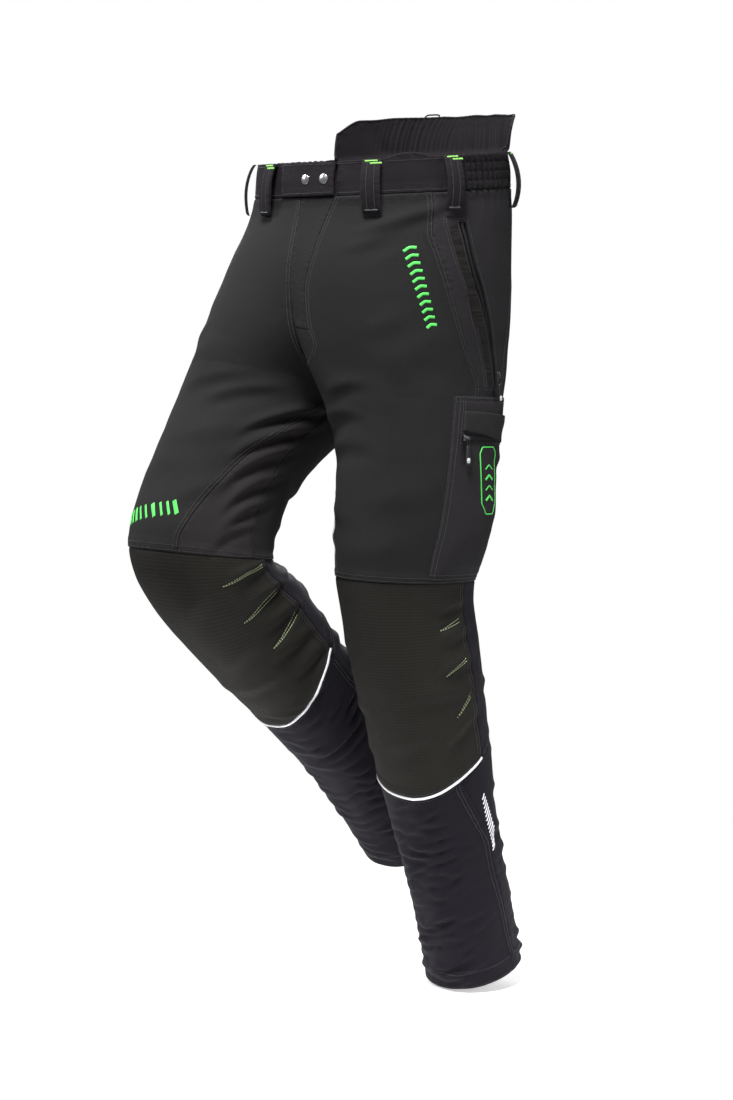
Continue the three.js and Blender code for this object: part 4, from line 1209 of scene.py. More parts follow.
def loop_route(v):
    """Height of a belt loop off the surface, from its top (0) to its foot (1)."""
    return 2.4 + LOOP_BOW * np.sin(np.pi * np.clip(v, 0, 1)) ** 0.7


def make_loop(word, phi):
    half = math.degrees(LOOP_WIDTH / 2 / WAIST_RADIUS)
    dips = lambda u: sum(np.exp(-((u - LOOP_WIDTH * row) / 0.9) ** 2) for row in LOOP_ROWS)
    swell = lambda u: 0.5 * hump(u, LOOP_WIDTH / 2, LOOP_WIDTH * 0.2)
    out = lambda phi_here, u, v: loop_route(v) + LOOP_THICK - 0.35 * dips(u) + swell(u)
    waist_piece(f"loop_{word}", (phi - half, phi + half), constant(LOOP_TOP), constant(LOOP_LENGTH),
                out, LOOP_THICK, WAIST, [f"belt_loop_{word}"], step=2.2)


# ---- Fly ----
def make_fly():
    panel("fly_cloth", LEFT, [lambda s: middle(LEFT, s), line(FLY_SEAM)],
          constant(BAND_HEIGHT), constant(FLY_END - 0.5), SHELL,
          seams(PLAIN, PLAIN, UNDER, PLAIN), group="fly", slot="shell",
          replaces=["fly_flap"], step=3.2)


SNAPS = {"outer": 3, "inner": 12}
SNAP_RADIUS = 6.2
CAP_LIFT, STUD_LIFT = 4.05, 0.3
LEAST_RADIUS = 0.02  # at the tips of a turned outline


def lathe(name, outline, sides, origin, axis):
    """A turned solid: an outline of (radius, height) points spun about an axis."""
    outline = np.array(outline, float)
    axis = unit(np.asarray(axis, float))
    across = unit(np.cross(axis, [0.3, 0.1, 1.0]))
    other = np.cross(axis, across)
    turn = circle(sides)
    spoke = np.cos(turn)[:, None] * across + np.sin(turn)[:, None] * other
    radius = np.maximum(outline[:, 0], LEAST_RADIUS)
    points = origin + radius[:, None, None] * spoke + outline[:, 1][:, None, None] * axis
    return make_mesh(name, points, ring_faces(len(outline), sides))


def make_snaps():
    r = SNAP_RADIUS
    dome = [(0, 0), (r * 0.96, 0), (r, 0.25), (r, 0.6), (r * 0.94, 0.95), (r * 0.86, 1.0),
            (r * 0.8, 1.15), (r * 0.62, 1.75), (r * 0.4, 2.15), (r * 0.18, 2.32), (0, 2.36)]
    stud = [(0, 0), (4.4, 0), (4.6, 0.3), (4.4, 0.6), (2.6, 0.7), (2.2, 1.0), (2.4, 1.4), (1.2, 1.5),
            (0, 1.5)]
    half_down = BAND_HEIGHT / 2
    for word, phi in SNAPS.items():
        axis = waist_normal(phi, half_down)
        cap = lathe(f"snap_dome_{word}", dome, 40, waist_skin(phi, half_down, CAP_LIFT), axis)
        place(cap, "fly_flap", NICKEL, [f"snap_cap_{word}"])
        base = lathe(f"snap_socket_{word}", stud, 28, waist_skin(phi, half_down, STUD_LIFT), axis)
        place(base, "trousers", NICKEL, [f"snap_stud_{word}"])


# ---- Small solids, several to a piece ----
def loft(rings):
    """Points and faces of a closed solid through a row of rings with an even number of points."""
    rings = np.stack(rings)
    points = rings.reshape(-1, 3)
    return points, outward(points, ring_faces(*rings.shape[:2]))


def ring_at(centre, across, up, ring):
    """The points of a flat ring of (across, up) places about a centre."""
    return centre + across * ring[:, :1] + up * ring[:, 1:]


def merged(name, solids, uv=False):
    """One mesh of several separate solids."""
    start, points, quads = 0, [], []
    for p, q in solids:
        points.append(p)
        quads.append(q + start)
        start += len(p)
    points = np.vstack(points)
    flat = points[:, [0, 2]] if uv else None
    return make_mesh(name, points, np.vstack(quads), flat)


def capsules(starts, ends, normals, radius, rise, sink):
    """A short bowed bar from each start to each end: a stitch or a zip tooth."""
    share = np.array([0.0, 0.16, 0.84, 1.0])
    lifts = np.array([-sink, rise, rise, -sink])
    girth = radius * np.array([0.55, 1.0, 1.0, 0.55])
    ahead = unit(ends - starts)
    across = unit(np.cross(ahead, normals))
    up = np.cross(across, ahead)
    centre = starts[:, None] + (ends - starts)[:, None] * share[:, None] + up[:, None] * lifts[:, None]
    turn = circle(4) + np.pi / 4
    spoke = np.cos(turn)[:, None] * across[:, None] + np.sin(turn)[:, None] * up[:, None]
    rings = centre[:, :, None] + girth[:, None, None] * spoke[:, None]
    points, quads = loft(rings[0])
    quads = quads + len(points) * np.arange(len(starts))[:, None, None]
    return rings.reshape(-1, 3), quads.reshape(-1, 4)


# ---- Stitches ----
SEWN = {}  # (group, thread) -> solids
STITCH_RISE, STITCH_SINK = 0.16, 0.2
TACK_STEP, TACK_RADIUS, TACK_HEIGHT = 0.42, 0.34, 2.2


def sew(group, points, normals, thread="dark", pitch=3.3, gap=0.8, radius=0.27):
    """A row of stitches along a line of points."""
    run = run_along(points)
    starts = np.arange(0, run[-1] - pitch, pitch)
    if len(starts) == 0:
        return
    at = lambda where: np.stack([np.interp(where, run, points[:, k]) for k in range(3)], 1)
    up = np.stack([np.interp(starts, run, normals[:, k]) for k in range(3)], 1)
    solid = capsules(at(starts + gap / 2), at(starts + pitch - gap / 2), up, radius, STITCH_RISE, STITCH_SINK)
    SEWN.setdefault((group, thread), []).append(solid)


def sew_on(side, theta, s, lift=0.0, group=None, **style):
    """Stitches on the cloth through places (theta, s), lift above it."""
    sew(side if group is None else group, skin(side, theta, s, lift), normal(side, theta, s), **style)


def row_down(side, line_of, start, end, offset, lift, group=None):
    """Stitches down a seam line, offset millimetres towards larger theta."""
    s = np.arange(start, end, 1.5)
    theta = line_of(s)
    sew_on(side, theta + offset / round_mm(side, theta, s), s, lift, group)


def row_across(side, line_of, start, end, offset, lift, group=None):
    """Stitches round the leg along a line of s, offset millimetres down."""
    theta = np.arange(start, end, 1.0)
    sew_on(side, theta, line_of(theta) + offset, lift, group)


def waist_row(phi, s, lift, group="trousers"):
    sew(group, waist_skin(phi, s, lift), waist_normal(phi, s))


def bartack(phi, s, lift, length=15.0, thread="green"):
    """A dense zigzag bar across a belt loop."""
    turns = np.arange(0, length, TACK_STEP)
    spread = phi + np.degrees((turns - length / 2) / WAIST_RADIUS)
    zigzag = s + TACK_HEIGHT / 2 * np.where(np.arange(len(turns)) % 2, 1, -1)
    points = waist_skin(spread, zigzag, lift)
    up = waist_normal(spread, zigzag)
    solid = capsules(points[:-1], points[1:], up[:-1], TACK_RADIUS, 0.2, 0.0)
    SEWN.setdefault(("trousers", thread), []).append(solid)


PAIR = (1.9, 6.6)  # the two rows of a topstitched seam, from its edge


def sew_legs(side):
    """The seams of one leg, from the band to the hem."""
    shin = f"{WORDS[side]}_shin"
    piping = piping_line(side)
    for row in PAIR:
        for seam, start, way in ((SIDE_SEAM, BAND_HEIGHT + 3, -1), (GUSSET_SEAM, CROTCH + 12, 1),
                                 (BACK_SEAM, BAND_HEIGHT + 3, -1)):
            row_down(side, line(seam), start, THIGH_END - 2, way * row, LAP)
        row_down(side, back_edge(side), BAND_HEIGHT + 3, CROTCH - 12, -row, 0)
        row_across(side, constant(THIGH_END), INSEAM - 358, INSEAM - 2, -row, LAP)
        for edge, way in ((KNEE_INNER, 1), (KNEE_OUTER, -1)):
            row_down(side, constant(edge), THIGH_END + 3, piping(edge) - 4, way * row, LAP)
        row_down(side, line(CALF_SEAM), PIPING_FOOT[side] - 18, HEM - 2, -row, LAP, shin)
        row_down(side, constant(CALF_INNER), PIPING_FOOT[side] - 30, HEM - 2, row, LAP, shin)
    row_across(side, piping, KNEE_INNER + 2, KNEE_OUTER - 2, -4.2, LAP)
    row_across(side, piping, KNEE_OUTER + 3, KNEE_INNER + 357, -PAIR[0], LAP)
    row_across(side, piping, KNEE_INNER + 2, 70, 4.4, 0, shin)
    for up in (2.5, 21.5, 24):
        row_across(side, constant(HEM - up), 0, 359, 0, 0.9 if up < 24 else 0.3, shin)


def sew_welt(side):
    """The rows round the hand pocket's opening."""
    for offset, lift in ((-2.2, WELT_RAISE), (-17, WELT_RAISE), (-20.5, 0.1)):
        row_down(side, slit_edge(-1), WELT_TOP - 6, WELT_END + 6, offset, lift, "trousers")
    row_down(side, slit_edge(1), WELT_TOP - 4, WELT_END + 4, 3.4, 0, "trousers")
    for end in (WELT_TOP - 4.5, WELT_END + 4.5):
        row_across(side, constant(end), welt_middle(end) - 12, welt_middle(end) + 3, 0, 0.4, "trousers")


def sew_darts(side):
    """Pale stitches along both sides of each dart, which opens towards the side of the patch."""
    for (t0, s0), (t1, s1) in DARTS[side]:
        share = np.linspace(0, 1, 30)
        theta = mix(t0, t1, share)
        for way in (-1, 1):
            off = way * DART_OPENING / 2 * share**0.8
            sew_on(side, theta, mix(s0, s1, share**1.4) + off, pucker(off) + 0.1, thread="pale",
                   pitch=3.8, gap=1.3, radius=0.38)


def sew_front():
    """The middle seam of the front, and the fly's seam curving in below it like a J."""
    for row in (2.2, 6.6):
        row_down(RIGHT, front_edge(RIGHT), BAND_HEIGHT + 3, CROTCH - 6, row, 0)
    j_line = lambda s: np.where(
        s <= FLY_END, along(FLY_SEAM, s),
        mix(along(FLY_SEAM, FLY_END), middle(LEFT, s), np.clip((s - FLY_END) / 52, 0, 1) ** 2.2))
    for row in (2.4, 6.4):
        row_down(LEFT, j_line, BAND_HEIGHT + 3, FLY_END + 50 + row, row, 0)


def sew_waist():
    """The rows of the band, the tab and the belt loops."""
    for start, end in ((-ELASTIC[0] + 0.6, TAB[0] - 0.3), (17.6, ELASTIC[0] - 0.6),
                       (ELASTIC[1] + 0.6, 359.4 - ELASTIC[1])):
        phi = np.arange(start, end, 0.5)
        for s in BAND_ROWS:
            waist_row(phi, s + 0 * phi, 0.1)
    phi = np.arange(TAB[0] + 1, TAB[1] - 0.2, 0.4)
    for s in (3.6, BAND_HEIGHT - 4.6):
        waist_row(phi, s + 0 * phi, TAB_LIFT + 1.7, group="fly")
    s = np.arange(4, BAND_HEIGHT - 4, 1.0)
    waist_row(TAB[0] + 1 + 0 * s, s, TAB_LIFT + 1.7, group="fly")
    for word, phi in LOOPS.items():
        v = np.linspace(0.04, 0.965, 60)
        for u in LOOP_ROWS:
            across = math.degrees((u - 0.5) * LOOP_WIDTH / WAIST_RADIUS)
            waist_row(phi + across + 0 * v, mix(LOOP_TOP, LOOP_LENGTH, v), loop_route(v) + 2.05)
        bartack(phi, 3.2, loop_route(0.04) + 2.1)
        bartack(phi, LOOP_LENGTH - 3.2, loop_route(0.95) + 2.1, thread="dark")
        if word in ("front_left", "side_left", "front_right"):
            bartack(phi + 2.2, 6.6, loop_route(0.1) + 2.1, 14)


THREADS = {"dark": DARK_THREAD, "green": GREEN_THREAD, "pale": PALE_THREAD}


def finish_sewing():
    """One piece for all the stitches of each group and thread."""
    for (group, thread_name), solids in SEWN.items():
        where = WORDS.get(group, group)
        place(merged(f"stitches_{where}_{thread_name}", solids), group, THREADS[thread_name])


# ---- Piping, stripes and prints ----
def make_piping(side):
    word = WORDS[side]
    theta = np.linspace(KNEE_INNER, KNEE_OUTER, 120)
    s = piping_line(side)(theta)
    route = skin(side, theta, s, 0.5)
    cord = tube_piece(f"piping_cord_{word}", route, PIPING_WIDTH / 2, 12, 0.8, normal(side, theta, s))
    place(cord, f"{word}_shin", REFLECTIVE, [f"piping_{word}"])


def ribbon(side, points, width, height=None, thick=0.3):
    """A flat strip on the cloth along (theta, s) points. height(theta, s) is what lies under it."""
    theta, s = np.array(points, float).T
    metric = float(np.mean(round_mm(side, theta, s)))
    x, y = theta * metric, s
    run = np.r_[0, np.cumsum(np.hypot(np.diff(x), np.diff(y)))]
    places = np.linspace(0, run[-1], max(3, int(run[-1] / 2.2) + 1))
    x, y = np.interp(places, run, x), np.interp(places, run, y)
    dx, dy = np.gradient(x), np.gradient(y)
    size = np.maximum(np.hypot(dx, dy), 1e-6)
    across = np.array([-0.5, -0.38, 0, 0.38, 0.5]) * width
    gx = x[:, None] - (dy / size)[:, None] * across
    gy = y[:, None] + (dx / size)[:, None] * across
    lift = 0.12 + (height(gx / metric, gy) if height else 0 * gx)
    outer = skin(side, gx / metric, gy, lift + thick * np.array([0, 1, 1, 1, 0]))
    inner = skin(side, gx / metric, gy, lift - 0.3)
    points = np.vstack([outer.reshape(-1, 3), inner.reshape(-1, 3)])
    return points, outward(points, sheet_quads(*gx.shape))


def local(side, theta, s, slant):
    """Turns millimetres (across, along) about a place into (theta, s)."""
    metric = float(round_mm(side, theta, s))
    c, n = math.cos(math.radians(slant)), math.sin(math.radians(slant))
    return lambda x, y: (theta + (x * c - y * n) / metric, s + x * n + y * c)


STRIPE_ENDS = {LEFT: (812, 884), RIGHT: (800, 868)}
STRIPE_PITCH, STRIPE_WIDTH, STRIPE_SLANT = 5.2, 2.0, -52


def make_stripes(side):
    """Slanted reflective bars beside the calf seam, longest in the middle of their row."""
    word = WORDS[side]
    bars = []
    start, end = STRIPE_ENDS[side]
    for s in np.arange(start, end, STRIPE_PITCH):
        share = (s - start) / (end - start)
        at = local(side, along(CALF_SEAM, s) + mix(17, 6, share), s, STRIPE_SLANT)
        half = 4.0 + 3.0 * math.sin(math.pi * share)
        bars.append(ribbon(side, [at(-half, 0), at(0, 0.6), at(half, 0)], STRIPE_WIDTH))
    place(merged(f"calf_stripes_{word}", bars, True), f"{word}_shin", REFLECTIVE)


def make_welt(side):
    """The dark strip sewn along the front of the hand pocket's opening."""
    word = WORDS[side]
    s = np.linspace(WELT_TOP + 4, WELT_END - 4, 40)
    theta = welt_middle(s) - SLIT - WELT_AHEAD / round_mm(side, welt_middle(s), s)
    strip = ribbon(side, np.stack([theta, s], 1), WELT_WIDTH, lambda t, level: WELT_RAISE + 0 * t, 0.6)
    place(merged(f"hand_pocket_welt_{word}", [strip], True), "trousers", WELT_CLOTH)


CHEVRONS, CHEVRON_PITCH, CHEVRON_REACH, CHEVRON_WIDTH = 11, 10.2, 8.2, 3.6
THIGH_BARS = 9
POCKET_OUTLINE = [(-11, -42), (-16, -34), (-16, 28), (-8, 42), (8, 42), (16, 28), (16, -34), (11, -42),
                  (-11, -42)]


def chevron(at, y, reach, drop, width, height=None):
    """A bent bar about a place, its ends drop below its middle."""
    points = [at(-reach, y + drop), at(0, y), at(reach, y + drop)]
    return ribbon(LEFT, points, width, height)


def make_prints():
    """Plain green patterns of bars, where the fabric is printed."""
    at = local(LEFT, 51, 110, -16)
    front = [chevron(at, k * CHEVRON_PITCH, CHEVRON_REACH, 0.35 * CHEVRON_REACH, CHEVRON_WIDTH)
             for k in range(CHEVRONS)]
    place(merged("print_front", front), "trousers", PRINT)
    thigh = []
    for k, theta in enumerate(np.linspace(-22, 34, THIGH_BARS)):
        at = local(RIGHT, theta, mix(497, 512, k / (THIGH_BARS - 1)), 14)
        thigh.append(ribbon(RIGHT, [at(2.4, -7), at(-2.4, 7)], 3.4 if k % 3 else 5.2))
    place(merged("print_thigh", thigh), RIGHT, PRINT)
    at = local(LEFT, 106, 404, -3)
    mark = [ribbon(LEFT, [at(x, y) for x, y in POCKET_OUTLINE], 1.5, cargo_height)]
    for k in range(4):
        mark.append(chevron(at, 13 * k - 20, 8, 6, 3.0 if k % 2 else 1.6, cargo_height))
    place(merged("print_pocket", mark), LEFT, PRINT)


# ---- Cargo pocket ----
CARGO_MM_PER_DEGREE = 1.5  # round the leg, at the pocket
COVER_FOOT = (344, 355)  # the zip cover's lower edge, in front and behind
cargo_front = line(CARGO_FRONT)


def cargo_height(theta, s):
    """Height of the pocket's cloth: flat at its sewn border, then full, slack at the foot."""
    border = np.minimum.reduce([
        (theta - cargo_front(s)) * CARGO_MM_PER_DEGREE, (CARGO_BACK - theta) * CARGO_MM_PER_DEGREE,
        s - CARGO_TOP, CARGO_FOOT - s])
    across = np.clip((theta - cargo_front(s)) / (CARGO_BACK - cargo_front(s)), 0, 1)
    down = np.clip((s - CARGO_ZIP - 6) / (CARGO_FOOT - CARGO_ZIP - 6), 0, 1)
    full = 6.0 * np.sin(np.pi * across) ** 0.8 * np.sin(np.pi * down**1.25) ** 0.8
    slack = 1.2 * noise(theta / 14, s / 26, 61) + 0.5 * noise(theta / 6, s / 12, 62)
    return 1.6 + 1.9 * smooth(3, 12, border) + (full + slack * down) * smooth(6, 22, border)


def make_cargo():
    """The cargo pocket on the left thigh, with its zip under a rubber cover."""
    cloth = lambda g: cargo_height(g["theta"], g["s"])
    panel("cargo_cloth", LEFT, [cargo_front, constant(CARGO_BACK)], constant(CARGO_TOP),
          constant(CARGO_FOOT), CARGO, seams(), slot="cargo", replaces=["cargo_pocket"], thick=1.5,
          step=3.4, extra=cloth)
    zip_ends = [lambda s: cargo_front(s) + 8, constant(CARGO_BACK - 2)]
    ruffled = lambda g: 0.4 * noise(g["across"] / 12, g["s"] / 8, 63)
    cover = lambda g: cloth(g) + 2.6 * smooth(0, 3, g["s"] - FLAP_TOP) + ruffled(g)
    cover_edge = lambda front, back: lambda theta: mix(front, back, smooth(78, CARGO_BACK, theta))
    panel("cargo_zip_cover", LEFT, zip_ends, cover_edge(FLAP_TOP, FLAP_TOP + 4), cover_edge(*COVER_FOOT),
          RUBBER, seams(), slot="cargo", replaces=["cargo_flap"], thick=1.2, step=3.0, extra=cover)
    panel("cargo_zip_tape", LEFT, zip_ends, constant(CARGO_ZIP - 5.5), constant(CARGO_ZIP + 5.5), TAPE,
          seams(), slot="zip", replaces=["cargo_zip"], thick=0.7, step=3.0,
          extra=lambda g: cloth(g) + 0.8)
    zip_teeth("cargo_zip_teeth", LEFT, np.arange(cargo_front(CARGO_ZIP) + 9, CARGO_BACK - 3, 0.9),
              np.array([CARGO_ZIP]), lambda theta, s: cargo_height(theta, s) + 1.5)


def sew_cargo():
    """Two rows round the pocket, and two more down its front beside the zip."""
    row = lambda theta, s: sew_on(LEFT, theta, s, cargo_height(theta, s))
    for inset in (2.2, 7.0):
        turn = inset / CARGO_MM_PER_DEGREE
        s = np.arange(CARGO_TOP + 3, CARGO_FOOT - 2, 1.5)
        for theta in (cargo_front(s) + turn, CARGO_BACK - turn + 0 * s):
            row(theta, s)
        for level in (CARGO_TOP + inset, CARGO_FOOT - inset):
            theta = np.arange(cargo_front(level) + 1.5, CARGO_BACK - 2, 1.0)
            row(theta, level + 0 * theta)
    s = np.arange(CARGO_TOP + 4, CARGO_ZIP + 12, 1.5)
    for inset in (10.5, 13):
        row(cargo_front(s) + inset / CARGO_MM_PER_DEGREE, s)


# ---- Zips ----
TAPE_REACH = 9  # half the width of a hand pocket's zip tape, in degrees
TOOTH_OUT, TOOTH_IN, TOOTH_RADIUS = 2.3, 0.7, 0.62


def teeth(centre, ahead, up):
    """Two interleaved rows of teeth along a zip's middle line."""
    way = np.where(np.arange(len(centre)) % 2, 1, -1)[:, None]
    sideways = np.cross(ahead, up) * way
    starts, ends = centre + sideways * TOOTH_OUT, centre - sideways * TOOTH_IN
    return capsules(starts, ends, up, TOOTH_RADIUS, 0.25, 0.35)


def zip_teeth(name, side, theta, s, height):
    """The teeth of a pocket's zip, height(theta, s) above the cloth."""
    theta, s = np.broadcast_arrays(theta, s)
    centre = skin(side, theta, s, height(theta, s))
    row = teeth(centre, unit(np.gradient(centre, axis=0)), normal(side, theta, s))
    place(merged(name, [row]), "trousers", BLACK_PLASTIC)


def make_hand_zip(side):
    word = WORDS[side]
    tape_edges = [lambda s: welt_middle(s) - TAPE_REACH, lambda s: welt_middle(s) + TAPE_REACH]
    panel(f"hand_zip_tape_{word}", side, tape_edges, constant(WELT_TOP - 4), constant(WELT_END + 5),
          TAPE, seams(), group="trousers", slot="zip", replaces=[f"hand_pocket_zip_{word}"],
          thick=0.9, base=-3.4)
    s = np.arange(WELT_TOP + 2, WELT_END - 1, 1.5)
    zip_teeth(f"hand_zip_teeth_{word}", side, welt_middle(s), s, lambda t, s: -2.3 + 0 * s)


def rounded(width, height, corner, count=20):
    """Points round a rounded rectangle, as (across, up)."""
    turn = circle(count) + np.pi / count
    c, n = np.cos(turn), np.sin(turn)
    squared = lambda v: np.sign(v) * np.abs(v) ** corner
    return np.stack([squared(c) * width / 2, squared(n) * height / 2], 1)


SLIDER_WIDTH, SLIDER_PLATE = 8.0, 1.1
# along the zip from the slider's middle, and its share of the full width there
SLIDER_SHAPE = [(-5.5, 0.4), (-5.2, 0.56), (-2.5, 0.62), (-0.5, 0.7), (1.5, 0.92), (3.5, 1.0), (5.0, 0.98),
                (5.5, 0.86)]
BRIDGE_STEPS = 14


def slider_solids(origin, along_zip, up, height=2.9):
    """A zip slider: two wedge-shaped plates on a post, with a bridge on top."""
    along_zip = unit(along_zip)
    across = np.cross(along_zip, up)

    def section(x, share, tall, level):
        ring = rounded(SLIDER_WIDTH * share, tall, 0.55) + (0, level)
        return ring_at(origin + along_zip * x, across, up, ring)

    levels = (SLIDER_PLATE / 2, height - SLIDER_PLATE / 2)
    plates = [loft([section(x, share, SLIDER_PLATE, level) for x, share in SLIDER_SHAPE]) for level in levels]
    post = loft([section(x, 0.3, 1.6, height / 2) for x in (1.0, 4.5)])
    arch = np.linspace(0, np.pi, BRIDGE_STEPS)
    x = 3.6 * np.cos(arch) + 0.2
    rise = height + levels[1] * np.sin(arch) ** 0.7
    centre = origin + along_zip * x[:, None] + up * rise[:, None]
    bridge = []
    for k, point in enumerate(centre):
        ahead = unit(centre[min(k + 1, BRIDGE_STEPS - 1)] - centre[max(k - 1, 0)])
        bridge.append(ring_at(point, across, np.cross(across, ahead), rounded(2.2, 1.1, 0.6, 10)))
    return plates + [post, loft(bridge)]


# below the hinge, width and thickness of a puller's tab
TAB_SHAPE = [(9.5, 3.4, 1.6), (10.2, 5.2, 2.0), (12, 6.6, 2.2), (15, 7.2, 2.2), (20, 8.2, 2.3),
             (26, 9.0, 2.4), (31, 9.0, 2.4), (32.4, 8.2, 2.0), (33, 6.6, 1.2)]
CORD_END = 10.4
WINDOW_AT, WINDOW = 27.5, np.array([5.6, 6.4])
DOWN = np.array([0, 0, -1.0])


def puller_tab(hinge, across, facing, start):
    """A cord loop through the slider's bridge, from start below the hinge, then a moulded tab."""
    tab = [ring_at(hinge + DOWN * drop, across, facing, rounded(width, thick, 0.5))
           for drop, width, thick in TAB_SHAPE]
    share = np.linspace(0, 1, 12)
    solids = [loft(tab)]
    for way in (-1, 1):
        spread = way * (0.4 + 1.4 * np.sin(np.pi * share) ** 0.8)
        route = hinge + DOWN * mix(start, CORD_END, share)[:, None] + across * spread[:, None]
        solids.append(loft([ring_at(point, across, facing, rounded(1.3, 1.3, 1.0, 8)) for point in route]))
    return solids


def puller_window(hinge, across, facing):
    """A pale window on both faces of the tab."""
    return [
        loft([
            ring_at(hinge + DOWN * WINDOW_AT + facing * way * depth, across, DOWN,
                    rounded(*(WINDOW * share), 0.6))
            for depth, share in ((1.05, 1.0), (1.4, 0.9))])
        for way in (1, -1)]


def make_slider(word, body, side, theta, s, ahead, out, hinge_out, start):
    """A slider and its puller, where the CAD pieces are. body is the pattern of their names."""
    up = normal(side, theta, s)
    plain = surface(side, theta, s)
    slider, puller = body.format("slider"), body.format("puller")
    solids = slider_solids(plain + up * out, ahead, up)
    place(merged(f"{word}_zip_slider", solids), slider, BLACK_METAL, [slider])
    facing = unit(np.array([up[0], up[1], 0]))
    across = np.cross(DOWN, facing)
    hinge = plain + up * hinge_out
    tab = merged(f"{word}_zip_puller", puller_tab(hinge, across, facing, start))
    place(tab, puller, BLACK_PLASTIC, [puller])
    window = merged(f"{word}_puller_window", puller_window(hinge, across, facing))
    place(window, puller, WHITE_PLASTIC)


HAND_SLIDER_AT, CARGO_SLIDER_AT = 272.0, 84


def make_sliders():
    for side in (LEFT, RIGHT):
        word = WORDS[side]
        at = lambda s: surface(side, welt_middle(s), s)
        ahead = at(HAND_SLIDER_AT + 5) - at(HAND_SLIDER_AT - 5)
        make_slider(f"hand_{word}", f"hand_{{}}_{word}", side, welt_middle(HAND_SLIDER_AT),
                    HAND_SLIDER_AT, ahead, 1.8, 7.0, -0.6)
    at = lambda theta: surface(LEFT, theta, CARGO_ZIP)
    ahead = at(CARGO_SLIDER_AT - 3) - at(CARGO_SLIDER_AT + 3)
    make_slider("cargo", "cargo_{}", LEFT, CARGO_SLIDER_AT, CARGO_ZIP, ahead, CARGO_BASE + 2.6,
                CARGO_BASE + 7.2, 1.4)


# ---- Behind the fly ----
FLY_ZIP = dict(x=16, top=64, foot=216, depth=12, tape=14)  # tape is half its width
# across the tape as a share of its half width, and the height of the cloth there
TAPE_SECTION = np.array([
    [-1, 0.6], [-0.93, 1.0], [-0.4, 1.0], [-0.12, 1.1], [0.12, 1.1], [0.4, 1.0], [0.93, 1.0], [1, 0.6]])


def make_fly_zip():
    """The straight zip behind the fly, and the shield behind the zip."""
    ends = []
    for s in (FLY_ZIP["top"], FLY_ZIP["foot"]):
        theta = middle(LEFT, s, True, FLY_ZIP["x"])
        ends.append(surface(LEFT, theta, s) - normal(LEFT, theta, s) * FLY_ZIP["depth"])
    a, b = ends
    b[0] = a[0]
    ahead = unit(b - a)
    up = unit(np.array([0, -1.0, 0]) - ahead * np.dot([0, -1.0, 0], ahead))
    across = np.cross(ahead, up)
    length = np.linalg.norm(b - a)
    run = np.linspace(0, length, 60)
    wide, rise = FLY_ZIP["tape"] * TAPE_SECTION[:, 0], TAPE_SECTION[:, 1]
    wave = 0.25 * noise(run / 14, 0.5, 71)
    outer = a + ahead * run[:, None, None] + across * wide[:, None] + up * (rise + wave[:, None])[..., None]
    inner = outer - up * 0.8
    uv = np.stack(np.broadcast_arrays(wide[None], run[:, None]), -1)
    edge = np.broadcast_to(FLY_ZIP["tape"] - np.abs(wide), outer.shape[:2])
    tape = sheet_piece("fly_zip_tape", outer, inner, uv, edge)
    place(tape, "trousers", TAPE, ["fly_zip"])
    centre = a + ahead * np.arange(2, length - 2, 1.5)[:, None] + up * 1.7
    row = teeth(centre, ahead, np.broadcast_to(up, centre.shape))
    place(merged("fly_zip_teeth", [row]), "trousers", BLACK_METAL)
    slider = merged("fly_zip_slider", slider_solids(a + up * 2.4 + ahead * 8.5, ahead, up, 2.3))
    place(slider, "fly_slider", BLACK_METAL, ["fly_slider"])
    panel("fly_shield_cloth", LEFT, [lambda s: middle(LEFT, s) + 0.5, lambda s: along(FLY_SEAM, s) + 2],
          constant(BAND_HEIGHT + 6), constant(FLY_END + 4), MESH_LINING,
          seams(), group="trousers", slot="lining",
          replaces=["fly_shield"], thick=1.4, step=5.0, base=-FLY_ZIP["depth"] - 8)


# ---- Build ----
for side in (LEFT, RIGHT):
    make_thigh(side)
    make_lower_leg(side)
    make_inside(side)
    make_piping(side)
    make_stripes(side)
    make_hand_zip(side)
    make_welt(side)
    sew_legs(side)
    sew_welt(side)
    sew_darts(side)
make_waist()
make_binding()
make_hanger()
for word, phi in LOOPS.items():
    make_loop(word, phi)
make_fly()
make_fly_zip()
make_snaps()
make_cargo()
sew_cargo()
make_sliders()
make_prints()
sew_front()
sew_waist()
finish_sewing()

# ---- Camera, light and floor ----
AIM = (0.007, -0.033, -0.494)
CAMERA_AZIMUTH, CAMERA_ELEVATION, CAMERA_DISTANCE = 45, 6, 3.2
LENS = 82.46


def aim_from(name, data, azimuth, elevation, distance):
    """Adds a camera or a light that looks at the aim from a distance."""
    thing = add_object(name, data)
    a, e = math.radians(azimuth), math.radians(elevation)
    away = Vector((math.sin(a) * math.cos(e), -math.cos(a) * math.cos(e), math.sin(e)))
    thing.location = Vector(AIM) + distance * away
    thing.rotation_mode = "QUATERNION"
    thing.rotation_quaternion = away.to_track_quat("Z", "Y")
    return thing


def area_light(name, azimuth, elevation, distance, size, power):
    light = bpy.data.lights.new(name, "AREA")
    light.shape = "RECTANGLE"
    light.size = light.size_y = size
    light.energy = power
    aim_from(name, light, azimuth, elevation, distance)


lens = bpy.data.cameras.new("camera")
lens.lens = LENS
bpy.context.scene.camera = aim_from("camera", lens, CAMERA_AZIMUTH, CAMERA_ELEVATION, CAMERA_DISTANCE)


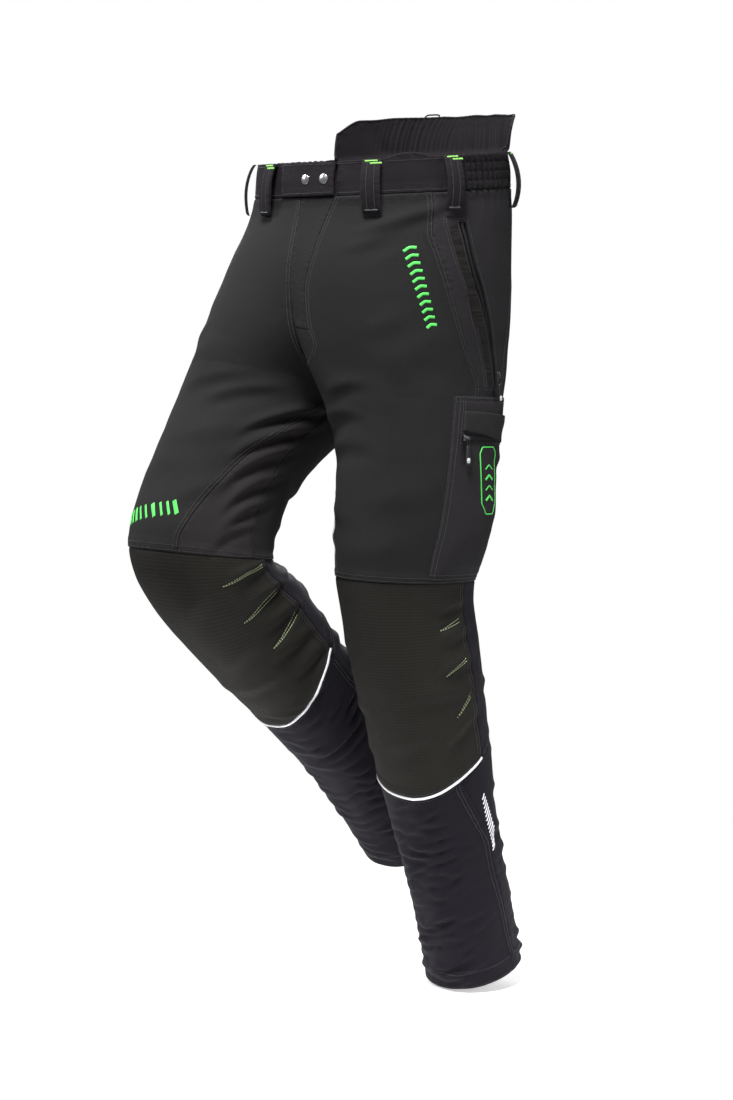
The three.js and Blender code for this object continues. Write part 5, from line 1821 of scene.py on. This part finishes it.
area_light("key_light", 30, 66, 3.0, 0.8, 150)
area_light("fill_light", 105, 15, 3.0, 1.6, 26)
area_light("left_light", -55, 34, 3.2, 0.8, 54)
area_light("back_light", 225, 20, 3.0, 1.6, 70)
world = bpy.data.worlds.new("studio")
world.use_nodes = True
tree = world.node_tree
ambient = tree.nodes["Background"]
ambient.inputs["Color"].default_value = (1, 1, 1, 1)
ambient.inputs["Strength"].default_value = 0.16
seen = tree.nodes.new("ShaderNodeBackground")  # what the camera sees: plain white
seen.inputs["Color"].default_value = (1, 1, 1, 1)
chosen = tree.nodes.new("ShaderNodeMixShader")
tree.links.new(tree.nodes.new("ShaderNodeLightPath").outputs["Is Camera Ray"], chosen.inputs[0])
tree.links.new(ambient.outputs[0], chosen.inputs[1])
tree.links.new(seen.outputs[0], chosen.inputs[2])
tree.links.new(chosen.outputs[0], tree.nodes["World Output"].inputs[0])
bpy.context.scene.world = world
bpy.context.scene.view_settings.view_transform = "Standard"

FLOOR_RADIUS, FLOOR_CENTRE = 1.2, (0.05, 0.0)
FLOOR_GAP = 0.003  # below the hems
floor_mesh = bpy.data.meshes.new("floor")
rim = [(FLOOR_RADIUS * math.cos(turn), FLOOR_RADIUS * math.sin(turn), 0) for turn in circle(64)]
floor_mesh.from_pydata(rim, [], [range(len(rim))])
floor = add_object("floor", floor_mesh)
floor.location = (*FLOOR_CENTRE, cad_box[0].z - FLOOR_GAP)
pale = Nodes("pale_floor")
pale.set(Base_Color=(0.9, 0.9, 0.9, 1), Roughness=0.9, Specular_IOR_Level=0.1)
pale.set(Emission_Color=(1, 1, 1, 1), Emission_Strength=0.5)
away = pale.add("ShaderNodeVectorMath", operation="LENGTH")
pale.join(pale.add("ShaderNodeTexCoord").outputs["Object"], away.inputs[0])
fade_range = {"From Min": 0.35, "From Max": FLOOR_RADIUS - 0.05, "To Min": 1.0, "To Max": 0.0}
fade = pale.add("ShaderNodeMapRange", interpolation_type="SMOOTHSTEP", **fade_range)
pale.join(away.outputs["Value"], fade.inputs["Value"])
pale.join(fade.outputs["Result"], pale.shader.inputs["Alpha"])
floor_mesh.materials.append(pale.material)
